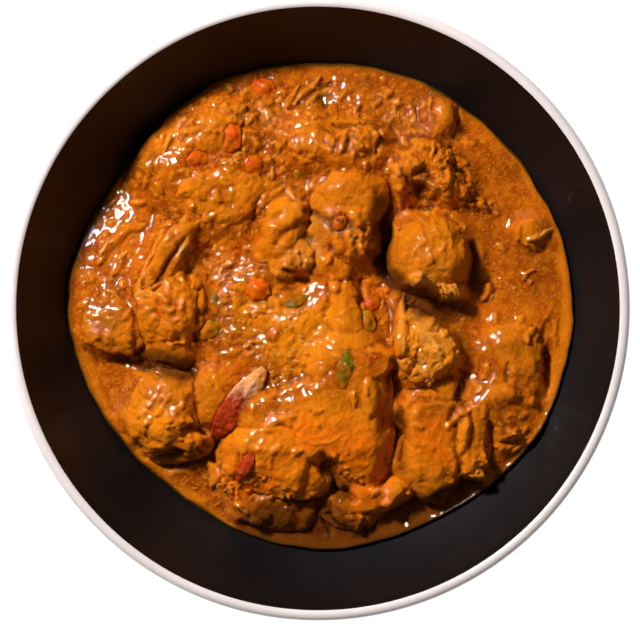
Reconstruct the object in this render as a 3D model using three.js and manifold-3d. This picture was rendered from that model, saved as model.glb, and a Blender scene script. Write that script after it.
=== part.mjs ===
// Chicken curry in its bowl: a round stoneware bowl with a foot ring, thick gravy up to an
// uneven line inside it, boneless chicken pieces standing in the gravy, and the diced
// vegetables, herb leaves and chilli on top. Everything only rests in the bowl.
//
// Millimetres, +Z up. The origin is on the table, under the middle of the bowl.

import * as THREE from "three";
import { mergeVertices } from "three/addons/utils/BufferGeometryUtils.js";
import Module from "manifold-3d";

const wasm = await Module();
wasm.setup();

// ---------------------------------------------------------------- driving dimensions

// The bowl
const BOWL_RADIUS = 100; // outside of the lip
const BOWL_HEIGHT = 70;
const LIP_WIDTH = 4; // the lip is half round
const INSIDE_FLOOR = 8; // lowest point of the inside
const FOOT_RADIUS = 44; // outside of the foot ring, on the table
const FOOT_WIDTH = 4.5;
const FOOT_HEIGHT = 8;
const FOOT_DRAFT = 1.5; // how far the ring narrows towards the table
const RECESS_HEIGHT = 3.5; // underside of the floor, inside the ring
const BOWL_SIDES = 48;

// The gravy
const GRAVY_LEVEL = 51.5; // away from the wall
const GRAVY_EDGE_RADIUS = 82.6; // where it meets the wall
const GRAVY_EDGE_POWER = 3; // how late the level bends down to the edge
const GRAVY_RINGS = 13; // of the top face
const GRAVY_UNDER_RINGS = 4; // of the underside
const RIPPLE_HEIGHT = 0.7;
const RIPPLE_LENGTH = 15;

// Fits
const GAP = 0.45; // clearance between neighbours; facets use up a part of it
const WALL_GAP = 0.6; // clearance of the gravy to the bowl, for the same reason
const WALL_COVER = 1.8; // gravy left between a piece of chicken and the bowl
const EMBED = 0.6; // how far a leaf or a skin is pressed into what it lies on

// How finely a lump is divided, round it and from its seat to its top
const LARGE_LUMP = { sides: 12, bands: 4 };
const SMALL_LUMP = { sides: 9, bands: 3 };
const DICE_LUMP = { sides: 8, bands: 2 };
const LARGE_LUMP_LENGTH = 11; // half length from which a lump is a large one

// ---------------------------------------------------------------- materials

function finish(name, color, roughness) {
  return { name, color, roughness, metalness: 0 };
}

const STONEWARE = finish("black-lined white stoneware", "#efe7e5", 0.35);
const GRAVY = finish("curry gravy", "#b4621a", 0.3);
const CHICKEN = finish("stewed chicken", "#c0752a", 0.4);
const TOMATO = finish("tomato", "#c8381a", 0.3);
const CARROT = finish("carrot", "#e0661a", 0.35);
const PEPPER = finish("green pepper", "#6d7218", 0.35);
const HERB = finish("coriander leaf", "#3f4a16", 0.5);
const CHILLI = finish("dried chilli skin", "#6e1d14", 0.25);

// ---------------------------------------------------------------- small tools

const radians = THREE.MathUtils.degToRad;

// A repeatable stream of numbers from 0 to 1
function stream(seed) {
  let state = seed;
  return () => {
    state = (state * 1664525 + 1013904223) % 4294967296;
    return state / 4294967296;
  };
}

// A smooth bumpy field in space: the mean of sine waves in seeded directions
function bumpyField(length, seed) {
  const next = stream(seed);
  const waves = [];
  for (let i = 0; i < 7; i += 1) {
    const way = new THREE.Vector3(next() - 0.5, next() - 0.5, next() - 0.5).normalize();
    const stretch = 0.7 + 0.8 * next();
    waves.push({ way: way.multiplyScalar((2 * Math.PI * stretch) / length), phase: 2 * Math.PI * next() });
  }
  return (point) => {
    let sum = 0;
    for (const { way, phase } of waves) {
      sum += Math.sin(way.dot(point) + phase);
    }
    return sum / Math.sqrt(waves.length);
  };
}

// A closed mesh with shared corners, no empty triangles and its faces pointing out
function closedMesh(geometry) {
  const bare = geometry.clone();
  bare.deleteAttribute("normal");
  bare.deleteAttribute("uv");
  const merged = mergeVertices(bare, 1e-4);
  const places = merged.getAttribute("position").array;
  const faces = [];
  const index = merged.getIndex().array;
  for (let i = 0; i < index.length; i += 3) {
    const [a, b, c] = index.slice(i, i + 3);
    if (a !== b && b !== c && c !== a) {
      faces.push([a, b, c]);
    }
  }
  const corner = (i) => new THREE.Vector3().fromArray(places, 3 * i);
  let volume = 0;
  for (const [a, b, c] of faces) {
    volume += corner(a).dot(corner(b).cross(corner(c))) / 6;
  }
  const outward = volume > 0 ? faces : faces.map(([a, b, c]) => [a, c, b]);
  return { places: new Float32Array(places), triangles: new Uint32Array(outward.flat()) };
}

function solidOf(geometry) {
  const { places, triangles } = closedMesh(geometry);
  return new wasm.Manifold(new wasm.Mesh({ numProp: 3, vertProperties: places, triVerts: triangles }));
}

// The largest body of a solid, without the scraps that a cut can leave
function largestBody(solid) {
  const bodies = solid.decompose();
  return bodies.reduce((best, body) => (body.volume() > best.volume() ? body : best));
}

function geometryOf(solid) {
  const mesh = solid.getMesh();
  const geometry = new THREE.BufferGeometry();
  geometry.setAttribute("position", new THREE.BufferAttribute(mesh.vertProperties, mesh.numProp));
  geometry.setIndex(new THREE.BufferAttribute(mesh.triVerts, 1));
  return geometry;
}

function namedMesh(name, material, geometry) {
  const mesh = new THREE.Mesh(geometry, new THREE.MeshStandardMaterial(material));
  mesh.name = name;
  return mesh;
}

// ---------------------------------------------------------------- the bowl

// The inside is a part of a ball that passes through the lip and the middle of the floor
const LIP_INSIDE = BOWL_RADIUS - LIP_WIDTH;
const LIP_MIDDLE_HEIGHT = BOWL_HEIGHT - LIP_WIDTH / 2;
const INSIDE_DEPTH = LIP_MIDDLE_HEIGHT - INSIDE_FLOOR;
const INSIDE_RADIUS = (LIP_INSIDE ** 2 + INSIDE_DEPTH ** 2) / (2 * INSIDE_DEPTH);
const INSIDE_CENTRE = INSIDE_FLOOR + INSIDE_RADIUS;

// Height of the inside of the bowl at a distance from its axis, or of a surface above it
function wallHeight(distance, above = 0) {
  return INSIDE_CENTRE - Math.sqrt((INSIDE_RADIUS - above) ** 2 - distance ** 2);
}

// Points of a circle about the axis point at height centre, from one distance to another
function arcOutline(centre, radius, from, to, steps) {
  const start = Math.asin(from / radius);
  const end = Math.asin(to / radius);
  const points = [];
  for (let i = 0; i <= steps; i += 1) {
    const angle = start + ((end - start) * i) / steps;
    points.push(new THREE.Vector2(radius * Math.sin(angle), centre - radius * Math.cos(angle)));
  }
  return points;
}

function bowlGeometry() {
  const shoulder = FOOT_RADIUS + FOOT_DRAFT;
  // The outside is a circle through the lip and the top of the foot ring
  const rise = LIP_MIDDLE_HEIGHT - FOOT_HEIGHT;
  const outsideCentre =
    (BOWL_RADIUS ** 2 - shoulder ** 2 + LIP_MIDDLE_HEIGHT ** 2 - FOOT_HEIGHT ** 2) / (2 * rise);
  const outsideRadius = Math.hypot(BOWL_RADIUS, outsideCentre - LIP_MIDDLE_HEIGHT);
  const ringInside = FOOT_RADIUS - FOOT_WIDTH;

  const lip = [];
  const lipCentre = BOWL_RADIUS - LIP_WIDTH / 2;
  for (let turn = 45; turn < 180; turn += 45) {
    const angle = radians(turn);
    lip.push(
      new THREE.Vector2(
        lipCentre + (LIP_WIDTH / 2) * Math.cos(angle),
        LIP_MIDDLE_HEIGHT + (LIP_WIDTH / 2) * Math.sin(angle),
      ),
    );
  }
  const outline = [
    new THREE.Vector2(0, RECESS_HEIGHT),
    new THREE.Vector2(ringInside - FOOT_DRAFT, RECESS_HEIGHT),
    new THREE.Vector2(ringInside, 0),
    new THREE.Vector2(FOOT_RADIUS, 0),
    ...arcOutline(outsideCentre, outsideRadius, shoulder, BOWL_RADIUS, 5),
    ...lip,
    ...arcOutline(INSIDE_CENTRE, INSIDE_RADIUS, LIP_INSIDE, 0, 9),
  ];
  return new THREE.LatheGeometry(outline, BOWL_SIDES).rotateX(Math.PI / 2);
}

// ---------------------------------------------------------------- the gravy

// Where the gravy's edge runs further in or out: by, at an angle, over a width in degrees
const EDGE_SHIFTS = [
  { at: 0, width: 26, by: 1.6 },
  { at: 92, width: 16, by: -1.2 },
  { at: 145, width: 17, by: -3.4 },
  { at: 177, width: 9, by: 1.4 },
  { at: 234, width: 36, by: -5.2 },
  { at: 297, width: 22, by: -2.4 },
  { at: 330, width: 12, by: 0.8 },
];

// Swellings and hollows of the gravy: middle, reach and height
const SWELLINGS = [
  { x: -16, y: -13, reachX: 22, reachY: 22, height: 4.2 }, // heap in the middle
  { x: 12, y: -18, reachX: 15, reachY: 24, height: 3.5 }, // ridge under the front pieces
  { x: -32, y: 50, reachX: 22, reachY: 18, height: 2.4 }, // heap at the upper left
  { x: 6, y: 50, reachX: 24, reachY: 14, height: 2.2 }, // heap at the back
  { x: 36, y: 44, reachX: 13, reachY: 12, height: 2.4 },
  { x: 50, y: -36, reachX: 15, reachY: 17, height: 2.4 }, // heap at the front right
  { x: -70, y: 8, reachX: 11, reachY: 22, height: 1.0 }, // pool on the left
  { x: 20.5, y: 17, reachX: 6.5, reachY: 7.5, height: -9 }, // cleft beside the round piece
  { x: 23, y: 32, reachX: 4, reachY: 8, height: -5 },
  { x: 54, y: 4, reachX: 8, reachY: 11, height: -2.6 },
  { x: 25, y: -69, reachX: 26, reachY: 8, height: -2.6 }, // low front
  { x: -62, y: -25, reachX: 12, reachY: 9, height: -3.2 }, // step below the left pool
  { x: -42, y: -23, reachX: 6, reachY: 5, height: -3.2 },
  { x: 3, y: -59, reachX: 7, reachY: 6, height: -6 }, // cleft between the front pieces
  { x: -29, y: -57, reachX: 5, reachY: 5, height: -4 },
  { x: 37, y: 38, reachX: 5, reachY: 3.5, height: -5 },
];

const ripple = bumpyField(RIPPLE_LENGTH, 11);

function edgeRadius(angle) {
  let radius = GRAVY_EDGE_RADIUS;
  for (const { at, width, by } of EDGE_SHIFTS) {
    const away = THREE.MathUtils.euclideanModulo(THREE.MathUtils.radToDeg(angle) - at + 180, 360) - 180;
    radius += by * Math.exp(-((away / width) ** 2));
  }
  return radius;
}

function gravyHeight(x, y) {
  const edge = edgeRadius(Math.atan2(y, x));
  const share = Math.min(Math.hypot(x, y) / edge, 1);
  const calm = 1 - share ** GRAVY_EDGE_POWER;
  let height = THREE.MathUtils.lerp(wallHeight(edge, WALL_GAP), GRAVY_LEVEL, calm);
  for (const { x: midX, y: midY, reachX, reachY, height: swell } of SWELLINGS) {
    height += swell * Math.exp(-(((x - midX) / reachX) ** 2 + ((y - midY) / reachY) ** 2)) * calm ** 0.5;
  }
  return height + RIPPLE_HEIGHT * ripple(new THREE.Vector3(x, y, 0)) * calm ** 0.5;
}

// Rings of a disc from its middle out to the gravy's edge, with more points the wider they
// are. heightAt gives each point's height.
function discRings(count, heightAt) {
  const rings = [];
  for (let ring = 0; ring <= count; ring += 1) {
    const sides = ring === 0 ? 1 : Math.max(5, Math.round((BOWL_SIDES * ring) / count));
    const points = [];
    for (let side = 0; side < sides; side += 1) {
      const angle = (2 * Math.PI * side) / sides;
      const distance = (edgeRadius(angle) * ring) / count;
      const x = distance * Math.cos(angle);
      const y = distance * Math.sin(angle);
      points.push([x, y, ring === count ? wallHeight(distance, WALL_GAP) : heightAt(x, y)]);
    }
    rings.push(points);
  }
  return rings;
}

// Triangles between one ring and the next wider one, stepping along whichever lags behind
function stripBetween(inner, outer) {
  const triangles = [];
  let i = 0;
  let o = 0;
  while (i < inner.length || o < outer.length) {
    const innerPoint = inner[i % inner.length];
    const outerPoint = outer[o % outer.length];
    const outerLags = (o + 0.5) / outer.length <= (i + 0.5) / inner.length;
    if (i >= inner.length || (o < outer.length && outerLags)) {
      o += 1;
      triangles.push([innerPoint, outerPoint, outer[o % outer.length]]);
    } else {
      i += 1;
      triangles.push([innerPoint, outerPoint, inner[i % inner.length]]);
    }
  }
  return triangles;
}

function gravyGeometry() {
  const top = discRings(GRAVY_RINGS, gravyHeight);
  const under = discRings(GRAVY_UNDER_RINGS, (x, y) => wallHeight(Math.hypot(x, y), WALL_GAP));
  const triangles = [];
  for (let ring = 0; ring < GRAVY_RINGS; ring += 1) {
    triangles.push(...stripBetween(top[ring], top[ring + 1]));
  }
  for (let ring = 0; ring < GRAVY_UNDER_RINGS; ring += 1) {
    triangles.push(...stripBetween(under[ring], under[ring + 1]).map(([a, b, c]) => [a, c, b]));
  }
  const geometry = new THREE.BufferGeometry();
  geometry.setAttribute("position", new THREE.Float32BufferAttribute(triangles.flat(2), 3));
  return geometry;
}

// ---------------------------------------------------------------- chicken pieces

// Each piece is one or more lumps grown together. A lump has its middle at x, y, half its
// length and width in long and wide, half its height in tall, and is turned by turn degrees.
// top is the height of the piece's highest lump above the table, drop how much lower a lump
// stands, and deep the depth of the whole piece. square makes a lump boxier, and rough
// roughens it. Pieces are listed from the uppermost down: each is cut clear of those before.
const CHICKEN_PIECES = [
  {
    name: "chicken_shred",
    top: 60.5,
    deep: 9,
    rough: 0.12,
    lumps: [
      { x: 35, y: -6, long: 8, wide: 3.2, tall: 4, turn: -36, drop: 0.4 },
      { x: 41.5, y: -13.5, long: 7, wide: 3.6, tall: 4, turn: 105, drop: 0.8 },
      { x: 35.5, y: -19.5, long: 8, wide: 4.4, tall: 4, turn: 12, drop: 1.6 },
      { x: 29, y: -14, long: 8.5, wide: 2.4, tall: 4, turn: 92, drop: 0 },
    ],
  },
  {
    name: "chicken_round",
    top: 62.2,
    deep: 24,
    rough: 0.05,
    lumps: [{ x: 36.8, y: 17.6, long: 14.4, wide: 13.8, tall: 13, turn: 20, square: 2.2 }],
  },
  {
    name: "chicken_twin_right",
    top: 61.6,
    deep: 22,
    rough: 0.09,
    lumps: [
      { x: 9.5, y: 33.5, long: 15.5, wide: 12.5, tall: 13, turn: 58, square: 2.5 },
      { x: 10.5, y: 24.5, long: 12, wide: 9.5, tall: 11, turn: 125, drop: 1.2, square: 2.3 },
      { x: 2.5, y: 15.5, long: 10.5, wide: 7.5, tall: 9, turn: 150, drop: 4.4 },
    ],
  },
  {
    name: "chicken_twin_left",
    top: 59.4,
    deep: 18,
    rough: 0.08,
    lumps: [
      { x: -11, y: 26, long: 14, wide: 8.8, tall: 10, turn: 68, square: 2.4 },
      { x: -9, y: 16.5, long: 9, wide: 7, tall: 8, turn: 20, drop: 1.6 },
    ],
  },
  {
    name: "chicken_front_right",
    top: 60.4,
    deep: 22,
    rough: 0.07,
    lumps: [
      { x: 9.5, y: -25, long: 22, wide: 14.8, tall: 13, turn: 100, square: 2.8 },
      { x: 14.5, y: -47, long: 15, wide: 11, tall: 13, turn: 82, square: 2.6, drop: 2.6 },
      { x: 9, y: -1.5, long: 14, wide: 9.2, tall: 11, turn: 100, drop: 2.2 },
    ],
  },
  {
    name: "chicken_left_strip",
    top: 58.8,
    deep: 12,
    rough: 0.08,
    lumps: [
      { x: -47.5, y: 18.5, long: 14.5, wide: 5, tall: 7, turn: 62 },
      { x: -54, y: 8.5, long: 9, wide: 4, tall: 6, turn: 80, drop: 1.2 },
    ],
  },
  {
    name: "chicken_left_block",
    top: 60.2,
    deep: 21,
    rough: 0.08,
    lumps: [
      { x: -49, y: 0.5, long: 14.5, wide: 11.5, tall: 12, turn: 98, square: 2.7 },
      { x: -46.5, y: -11.5, long: 11, wide: 9.5, tall: 11, turn: 70, square: 2.4, drop: 3.4 },
    ],
  },
  {
    name: "chicken_front_left",
    top: 58.6,
    deep: 20,
    rough: 0.07,
    lumps: [
      { x: -12.5, y: -47.5, long: 19, wide: 14.5, tall: 12, turn: -6, square: 2.7 },
      { x: -6.5, y: -35, long: 11, wide: 9, tall: 10, turn: 40, drop: 0.4 },
    ],
  },
  {
    name: "chicken_lower_left",
    top: 57.4,
    deep: 18,
    rough: 0.08,
    lumps: [
      { x: -51, y: -33, long: 14.5, wide: 12.5, tall: 11, turn: 70, square: 2.4 },
      { x: -46.5, y: -43.5, long: 13, wide: 8, tall: 9, turn: 12, drop: 3, square: 2.3 },
    ],
  },
  {
    name: "chicken_right_ridge",
    top: 57.6,
    deep: 16,
    rough: 0.1,
    lumps: [
      { x: 57, y: -31.5, long: 12.5, wide: 7, tall: 9, turn: 50 },
      { x: 51, y: -45.5, long: 13, wide: 7.5, tall: 9, turn: 80, drop: 0.8 },
    ],
  },
  {
    name: "chicken_under_shred",
    top: 56.6,
    deep: 14,
    rough: 0.08,
    lumps: [{ x: 36, y: -31, long: 14, wide: 8.5, tall: 8, turn: 26, square: 2.4 }],
  },
  {
    name: "chicken_right_front",
    top: 57,
    deep: 18,
    rough: 0.08,
    lumps: [{ x: 37.5, y: -48.5, long: 14.5, wide: 12, tall: 11, turn: 62, square: 2.6 }],
  },
  {
    name: "chicken_right_edge",
    top: 54,
    deep: 10,
    rough: 0.1,
    lumps: [{ x: 63.5, y: -39, long: 10.5, wide: 7, tall: 6.5, turn: 66 }],
  },
  {
    name: "chicken_right_slab",
    top: 55.2,
    deep: 12,
    rough: 0.07,
    lumps: [{ x: 64.5, y: -16.5, long: 14, wide: 10, tall: 7, turn: 96, square: 2.5 }],
  },
  {
    name: "chicken_middle_left",
    top: 56.8,
    deep: 15,
    rough: 0.08,
    lumps: [{ x: -33, y: -29, long: 12, wide: 9, tall: 8, turn: 75, square: 2.3 }],
  },
  {
    name: "chicken_front_lower_left",
    top: 51,
    deep: 11,
    rough: 0.1,
    lumps: [{ x: -14.5, y: -65.5, long: 14, wide: 8, tall: 6.5, turn: -6, square: 2.3 }],
  },
  {
    name: "chicken_front_lower_right",
    top: 50.6,
    deep: 10,
    rough: 0.1,
    lumps: [{ x: 10, y: -66.5, long: 10, wide: 7, tall: 6, turn: -20, square: 2.3 }],
  },
  {
    name: "chicken_front_tip",
    top: 53.4,
    deep: 10,
    rough: 0.1,
    lumps: [{ x: 25, y: -60.5, long: 8.5, wide: 5, tall: 5, turn: 35 }],
  },
  {
    name: "chicken_back_flake_1",
    top: 58.6,
    deep: 12,
    rough: 0.12,
    lumps: [{ x: 35.5, y: 47.5, long: 8, wide: 5.4, tall: 6, turn: 18 }],
  },
  {
    name: "chicken_back_flake_2",
    top: 57.4,
    deep: 10,
    rough: 0.12,
    lumps: [{ x: 26.6, y: 43, long: 5.2, wide: 3.4, tall: 5, turn: 80 }],
  },
  {
    name: "chicken_back_flake_3",
    top: 57,
    deep: 10,
    rough: 0.12,
    lumps: [{ x: 44, y: 39.5, long: 6.5, wide: 4.4, tall: 5, turn: 40 }],
  },
  {
    name: "chicken_back_middle",
    top: 58,
    deep: 14,
    rough: 0.07,
    lumps: [{ x: -3.5, y: 54.5, long: 9.5, wide: 8.4, tall: 8, turn: 100, square: 2.3 }],
  },
  {
    name: "chicken_back_right",
    top: 57.6,
    deep: 13,
    rough: 0.09,
    lumps: [{ x: 12.5, y: 52, long: 10.5, wide: 8, tall: 7.5, turn: 0, square: 2.3 }],
  },
  {
    name: "chicken_edge_flake_back",
    top: 54,
    deep: 7,
    rough: 0.1,
    lumps: [{ x: 41, y: 63, long: 6.4, wide: 4.6, tall: 4.5, turn: 110 }],
  },
  {
    name: "chicken_edge_flake_right",
    top: 54,
    deep: 7,
    rough: 0.1,
    lumps: [{ x: 69.5, y: 25.5, long: 6.6, wide: 4.8, tall: 4.5, turn: 30 }],
  },
  {
    name: "chicken_left_ledge",
    top: 54,
    deep: 10,
    rough: 0.1,
    lumps: [{ x: -67, y: -5.5, long: 12, wide: 9, tall: 6, turn: -12, square: 2.5 }],
  },
  {
    name: "chicken_upper_left",
    top: 56.8,
    deep: 13,
    rough: 0.09,
    lumps: [
      { x: -33, y: 37, long: 18, wide: 12, tall: 8, turn: -8, square: 2.4 },
      { x: -46.5, y: 47, long: 12, wide: 9, tall: 7.5, turn: 80, drop: 0.6, square: 2.4 },
      { x: -34.5, y: 57.5, long: 15, wide: 9.5, tall: 7.5, turn: 24, drop: 1.4, square: 2.3 },
    ],
  },
  {
    name: "chicken_crumb",
    top: 55.4,
    deep: 7,
    rough: 0.14,
    lumps: [{ x: 43.4, y: 5.4, long: 5.4, wide: 2.6, tall: 3.6, turn: 22 }],
  },
];

// Height that a lump's underside keeps above the bowl, at the side nearest to the wall
function seatHeight({ x, y, long, wide }, piece) {
  const outermost = Math.min(Math.hypot(x, y) + (long + wide) / 2, LIP_INSIDE);
  return Math.max(piece.top - piece.deep, wallHeight(outermost, WALL_COVER));
}

// One lump: rings of points from a flat seat up to its top, on a rounded and roughened box.
// swell grows it all round.
function lumpGeometry(lump, piece, seed, swell) {
  const { x, y, long, wide, tall, turn = 0, drop = 0, square = 2.15 } = lump;
  const middle = new THREE.Vector3(x, y, piece.top - drop - tall);
  const sunk = THREE.MathUtils.clamp((middle.z - seatHeight(lump, piece)) / tall, -0.6, 0.85);
  const field = bumpyField(1.5, seed);
  const spin = new THREE.Matrix4().makeRotationZ(radians(turn));
  const { sides, bands } = piece.division ?? (long < LARGE_LUMP_LENGTH ? SMALL_LUMP : LARGE_LUMP);
  const lowest = -Math.asin(sunk);
  const seat = middle.z - sunk * tall - swell;

  const pointAt = (around, up) => {
    const way = new THREE.Vector3(
      Math.cos(up) * Math.cos(around),
      Math.cos(up) * Math.sin(around),
      Math.sin(up),
    );
    const sum = Math.abs(way.x) ** square + Math.abs(way.y) ** square + Math.abs(way.z) ** square;
    const reach = sum ** (-1 / square) * (1 + piece.rough * field(way));
    way.multiply(new THREE.Vector3(long * reach + swell, wide * reach + swell, tall * reach + swell));
    return way.applyMatrix4(spin).add(middle);
  };

  const points = [];
  for (let band = 0; band < bands; band += 1) {
    const up = THREE.MathUtils.lerp(lowest, Math.PI / 2, band / bands);
    for (let side = 0; side < sides; side += 1) {
      const point = pointAt((2 * Math.PI * (side + (band % 2) / 2)) / sides, up);
      point.z = band === 0 ? seat : Math.max(point.z, seat + 0.2);
      points.push(...point);
    }
  }
  const peak = sides * bands;
  points.push(...pointAt(0, Math.PI / 2), middle.x, middle.y, seat);

  const faces = [];
  for (let side = 0; side < sides; side += 1) {
    const next = (side + 1) % sides;
    faces.push(peak + 1, next, side);
    for (let band = 0; band < bands - 1; band += 1) {
      const [low, high] = [band * sides, (band + 1) * sides];
      // Each ring is half a step on from the one below, so the slant changes with the ring
      if (band % 2 === 0) {
        faces.push(low + side, low + next, high + side, low + next, high + next, high + side);
      } else {
        faces.push(low + side, low + next, high + next, low + side, high + next, high + side);
      }
    }
    const top = (bands - 1) * sides;
    faces.push(top + side, top + next, peak);
  }
  const geometry = new THREE.BufferGeometry();
  geometry.setAttribute("position", new THREE.Float32BufferAttribute(points, 3));
  geometry.setIndex(faces);
  return geometry;
}

function lumpySolid(piece, seed, swell) {
  return piece.lumps
    .map((lump, i) => solidOf(lumpGeometry(lump, piece, seed + 17 * i, swell)))
    .reduce((whole, lump) => whole.add(lump));
}

// ---------------------------------------------------------------- what lies on top

// Height of the food's surface: the gravy, or the highest lump that covers the point
function foodHeight(x, y) {
  let height = gravyHeight(x, y);
  for (const { top, lumps } of CHICKEN_PIECES) {
    for (const { x: midX, y: midY, long, wide, tall, turn = 0, drop = 0, square = 2.15 } of lumps) {
      const angle = radians(turn);
      const along = ((x - midX) * Math.cos(angle) + (y - midY) * Math.sin(angle)) / long;
      const across = ((y - midY) * Math.cos(angle) - (x - midX) * Math.sin(angle)) / wide;
      const left = 1 - Math.abs(along) ** square - Math.abs(across) ** square;
      if (left > 0) {
        height = Math.max(height, top - drop - tall + tall * left ** (1 / square));
      }
    }
  }
  return height;
}

// Diced vegetables: middle, half length and width, turn, and how far they stand proud
const DICE = [
  ["tomato_dice_1", TOMATO, { x: -17.8, y: 73, long: 4, wide: 3, turn: -20, proud: 1.6 }],
  ["tomato_dice_2", TOMATO, { x: -28.5, y: 56, long: 4.8, wide: 3.2, turn: 75, proud: 1.4 }],
  ["tomato_dice_3", TOMATO, { x: -40.5, y: 49, long: 4.8, wide: 2.8, turn: 8, proud: 1.4 }],
  ["tomato_dice_4", TOMATO, { x: -22.2, y: 47.3, long: 3.8, wide: 3.4, turn: 40, proud: 1.8 }],
  ["tomato_dice_5", TOMATO, { x: 17.5, y: 1.5, long: 3.2, wide: 2.6, turn: 60, proud: 1 }],
  ["tomato_dice_6", TOMATO, { x: 7, y: 28, long: 3.2, wide: 2.6, turn: 50, proud: 0.9 }],
  ["carrot_dice_1", CARROT, { x: -19.7, y: 6.4, long: 3.8, wide: 3.3, turn: 0, proud: 1.9 }],
  ["carrot_dice_2", CARROT, { x: -14, y: -8.8, long: 3.2, wide: 2.8, turn: 15, proud: 1.1 }],
  ["pepper_dice_1", PEPPER, { x: -36, y: -7, long: 4, wide: 2.7, turn: 25, proud: 1.5 }],
  ["pepper_dice_2", PEPPER, { x: -6.6, y: 45, long: 3, wide: 2.2, turn: 10, proud: 0.9 }],
  ["pepper_dice_3", PEPPER, { x: 16.2, y: -4.4, long: 3.8, wide: 2.6, turn: 98, proud: 1.1 }],
];

const DICE_THICKNESS = 4.5;
const DICE_SQUARE = 3.4;

// Leaves and skins, pressed on: half length and width, thickness, turn, and the arch across
const LEAF = { thick: 0.9, arch: 0.45 };
const CHILLI_LONG = { x: -26, y: -31, long: 14, wide: 4.2, turn: 53, thick: 1.4, arch: 1.6 };
const CHILLI_SMALL = { x: -23.6, y: -51, long: 5.6, wide: 2, turn: 62, thick: 1.1, arch: 0.7 };
const SKINS = [
  ["chilli_skin_long", CHILLI, CHILLI_LONG],
  ["chilli_skin_small", CHILLI, CHILLI_SMALL],
  ["herb_leaf_1", HERB, { ...LEAF, x: 8.8, y: -19.5, long: 6.4, wide: 2.7, turn: 82 }],
  ["herb_leaf_2", HERB, { ...LEAF, x: -34.6, y: 3.2, long: 5.4, wide: 1.8, turn: 100 }],
  ["herb_leaf_3", HERB, { ...LEAF, x: -7, y: 2.4, long: 4, wide: 1.7, turn: 20 }],
];

const SKIN_STEPS = 5;
const SKIN_LANES = 2;

function diceSolid({ x, y, long, wide, turn, proud }, seed, swell) {
  const tall = DICE_THICKNESS / 2;
  const piece = { top: foodHeight(x, y) + proud, deep: DICE_THICKNESS, rough: 0.06, division: DICE_LUMP };
  return solidOf(lumpGeometry({ x, y, long, wide, tall, turn, square: DICE_SQUARE }, piece, seed, swell));
}

// A thin pointed sheet that follows the food under it, with both faces split alike
function skinSolid({ x, y, long, wide, thick, turn, arch }, swell) {
  const angle = radians(turn);
  const points = [];
  for (const [side, lift] of [[0, thick - EMBED], [1, -EMBED]]) {
    for (let step = 0; step <= SKIN_STEPS; step += 1) {
      const along = (2 * step) / SKIN_STEPS - 1;
      const taper = Math.max(1 - along ** 2, 0.12) ** 0.6;
      for (let lane = 0; lane <= SKIN_LANES; lane += 1) {
        const across = (2 * lane) / SKIN_LANES - 1;
        const pointAt = (grown) => {
          const forward = (long + grown) * along;
          const aside = (wide * taper + grown) * across;
          return [
            x + forward * Math.cos(angle) - aside * Math.sin(angle),
            y + forward * Math.sin(angle) + aside * Math.cos(angle),
          ];
        };
        const crown = arch * (1 - across ** 2) * (1 - along ** 2);
        const height = smoothFoodHeight(...pointAt(0)) + crown + lift + (side === 0 ? swell : -swell);
        points.push([...pointAt(swell), height]);
      }
    }
  }
  const row = SKIN_LANES + 1;
  const face = row * (SKIN_STEPS + 1);
  const faces = [];
  const quad = (a, b, c, d) => faces.push([a, b, c], [a, c, d]);
  for (let step = 0; step < SKIN_STEPS; step += 1) {
    for (let lane = 0; lane < SKIN_LANES; lane += 1) {
      const a = step * row + lane;
      quad(a, a + row, a + row + 1, a + 1);
      quad(face + a, face + a + 1, face + a + row + 1, face + a + row);
    }
    const [left, right] = [step * row, step * row + SKIN_LANES];
    quad(left, face + left, face + left + row, left + row);
    quad(right, right + row, face + right + row, face + right);
  }
  const last = SKIN_STEPS * row;
  for (let lane = 0; lane < SKIN_LANES; lane += 1) {
    quad(lane, lane + 1, face + lane + 1, face + lane);
    quad(last + lane, face + last + lane, face + last + lane + 1, last + lane + 1);
  }
  const geometry = new THREE.BufferGeometry();
  geometry.setAttribute("position", new THREE.Float32BufferAttribute(points.flat(), 3));
  geometry.setIndex(faces.flat());
  return solidOf(geometry);
}

// The food's height evened out over a few millimetres, so that a thin sheet doesn't crease
function smoothFoodHeight(x, y) {
  const reach = 2.5;
  let sum = 0;
  for (const [stepX, stepY] of [[0, 0], [1, 0], [-1, 0], [0, 1], [0, -1]]) {
    sum += foodHeight(x + reach * stepX, y + reach * stepY);
  }
  return sum / 5;
}

// ---------------------------------------------------------------- the whole

const curry = new THREE.Group();
curry.add(namedMesh("bowl", STONEWARE, bowlGeometry()));

// Every piece in order from the uppermost down, with a grown copy that cuts what is below
const pieces = [];
for (const [name, material, skin] of SKINS) {
  pieces.push({ name, material, solid: skinSolid(skin, 0), cutter: skinSolid(skin, GAP) });
}
DICE.forEach(([name, material, dice], i) => {
  const seed = 300 + i;
  pieces.push({ name, material, solid: diceSolid(dice, seed, 0), cutter: diceSolid(dice, seed, GAP) });
});
CHICKEN_PIECES.forEach((piece, i) => {
  const seed = 100 * (i + 1);
  pieces.push({
    name: piece.name,
    material: CHICKEN,
    solid: lumpySolid(piece, seed, 0),
    cutter: lumpySolid(piece, seed, GAP),
  });
});

let gravy = solidOf(gravyGeometry());
pieces.forEach(({ name, material, solid, cutter }, i) => {
  let body = solid;
  for (const above of pieces.slice(0, i)) {
    body = body.subtract(above.cutter);
  }
  gravy = gravy.subtract(cutter);
  curry.add(namedMesh(name, material, geometryOf(largestBody(body))));
});
curry.add(namedMesh("gravy", GRAVY, geometryOf(largestBody(gravy))));

export default curry;
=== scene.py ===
"""Chicken curry in its bowl: black-lined white stoneware, a thick grainy gravy, pieces of stewed
chicken coated with it, and softened vegetables, leaves and chilli skin on top.

Lengths in this script are millimetres, and meshes are written in metres.
"""

import math

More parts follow.
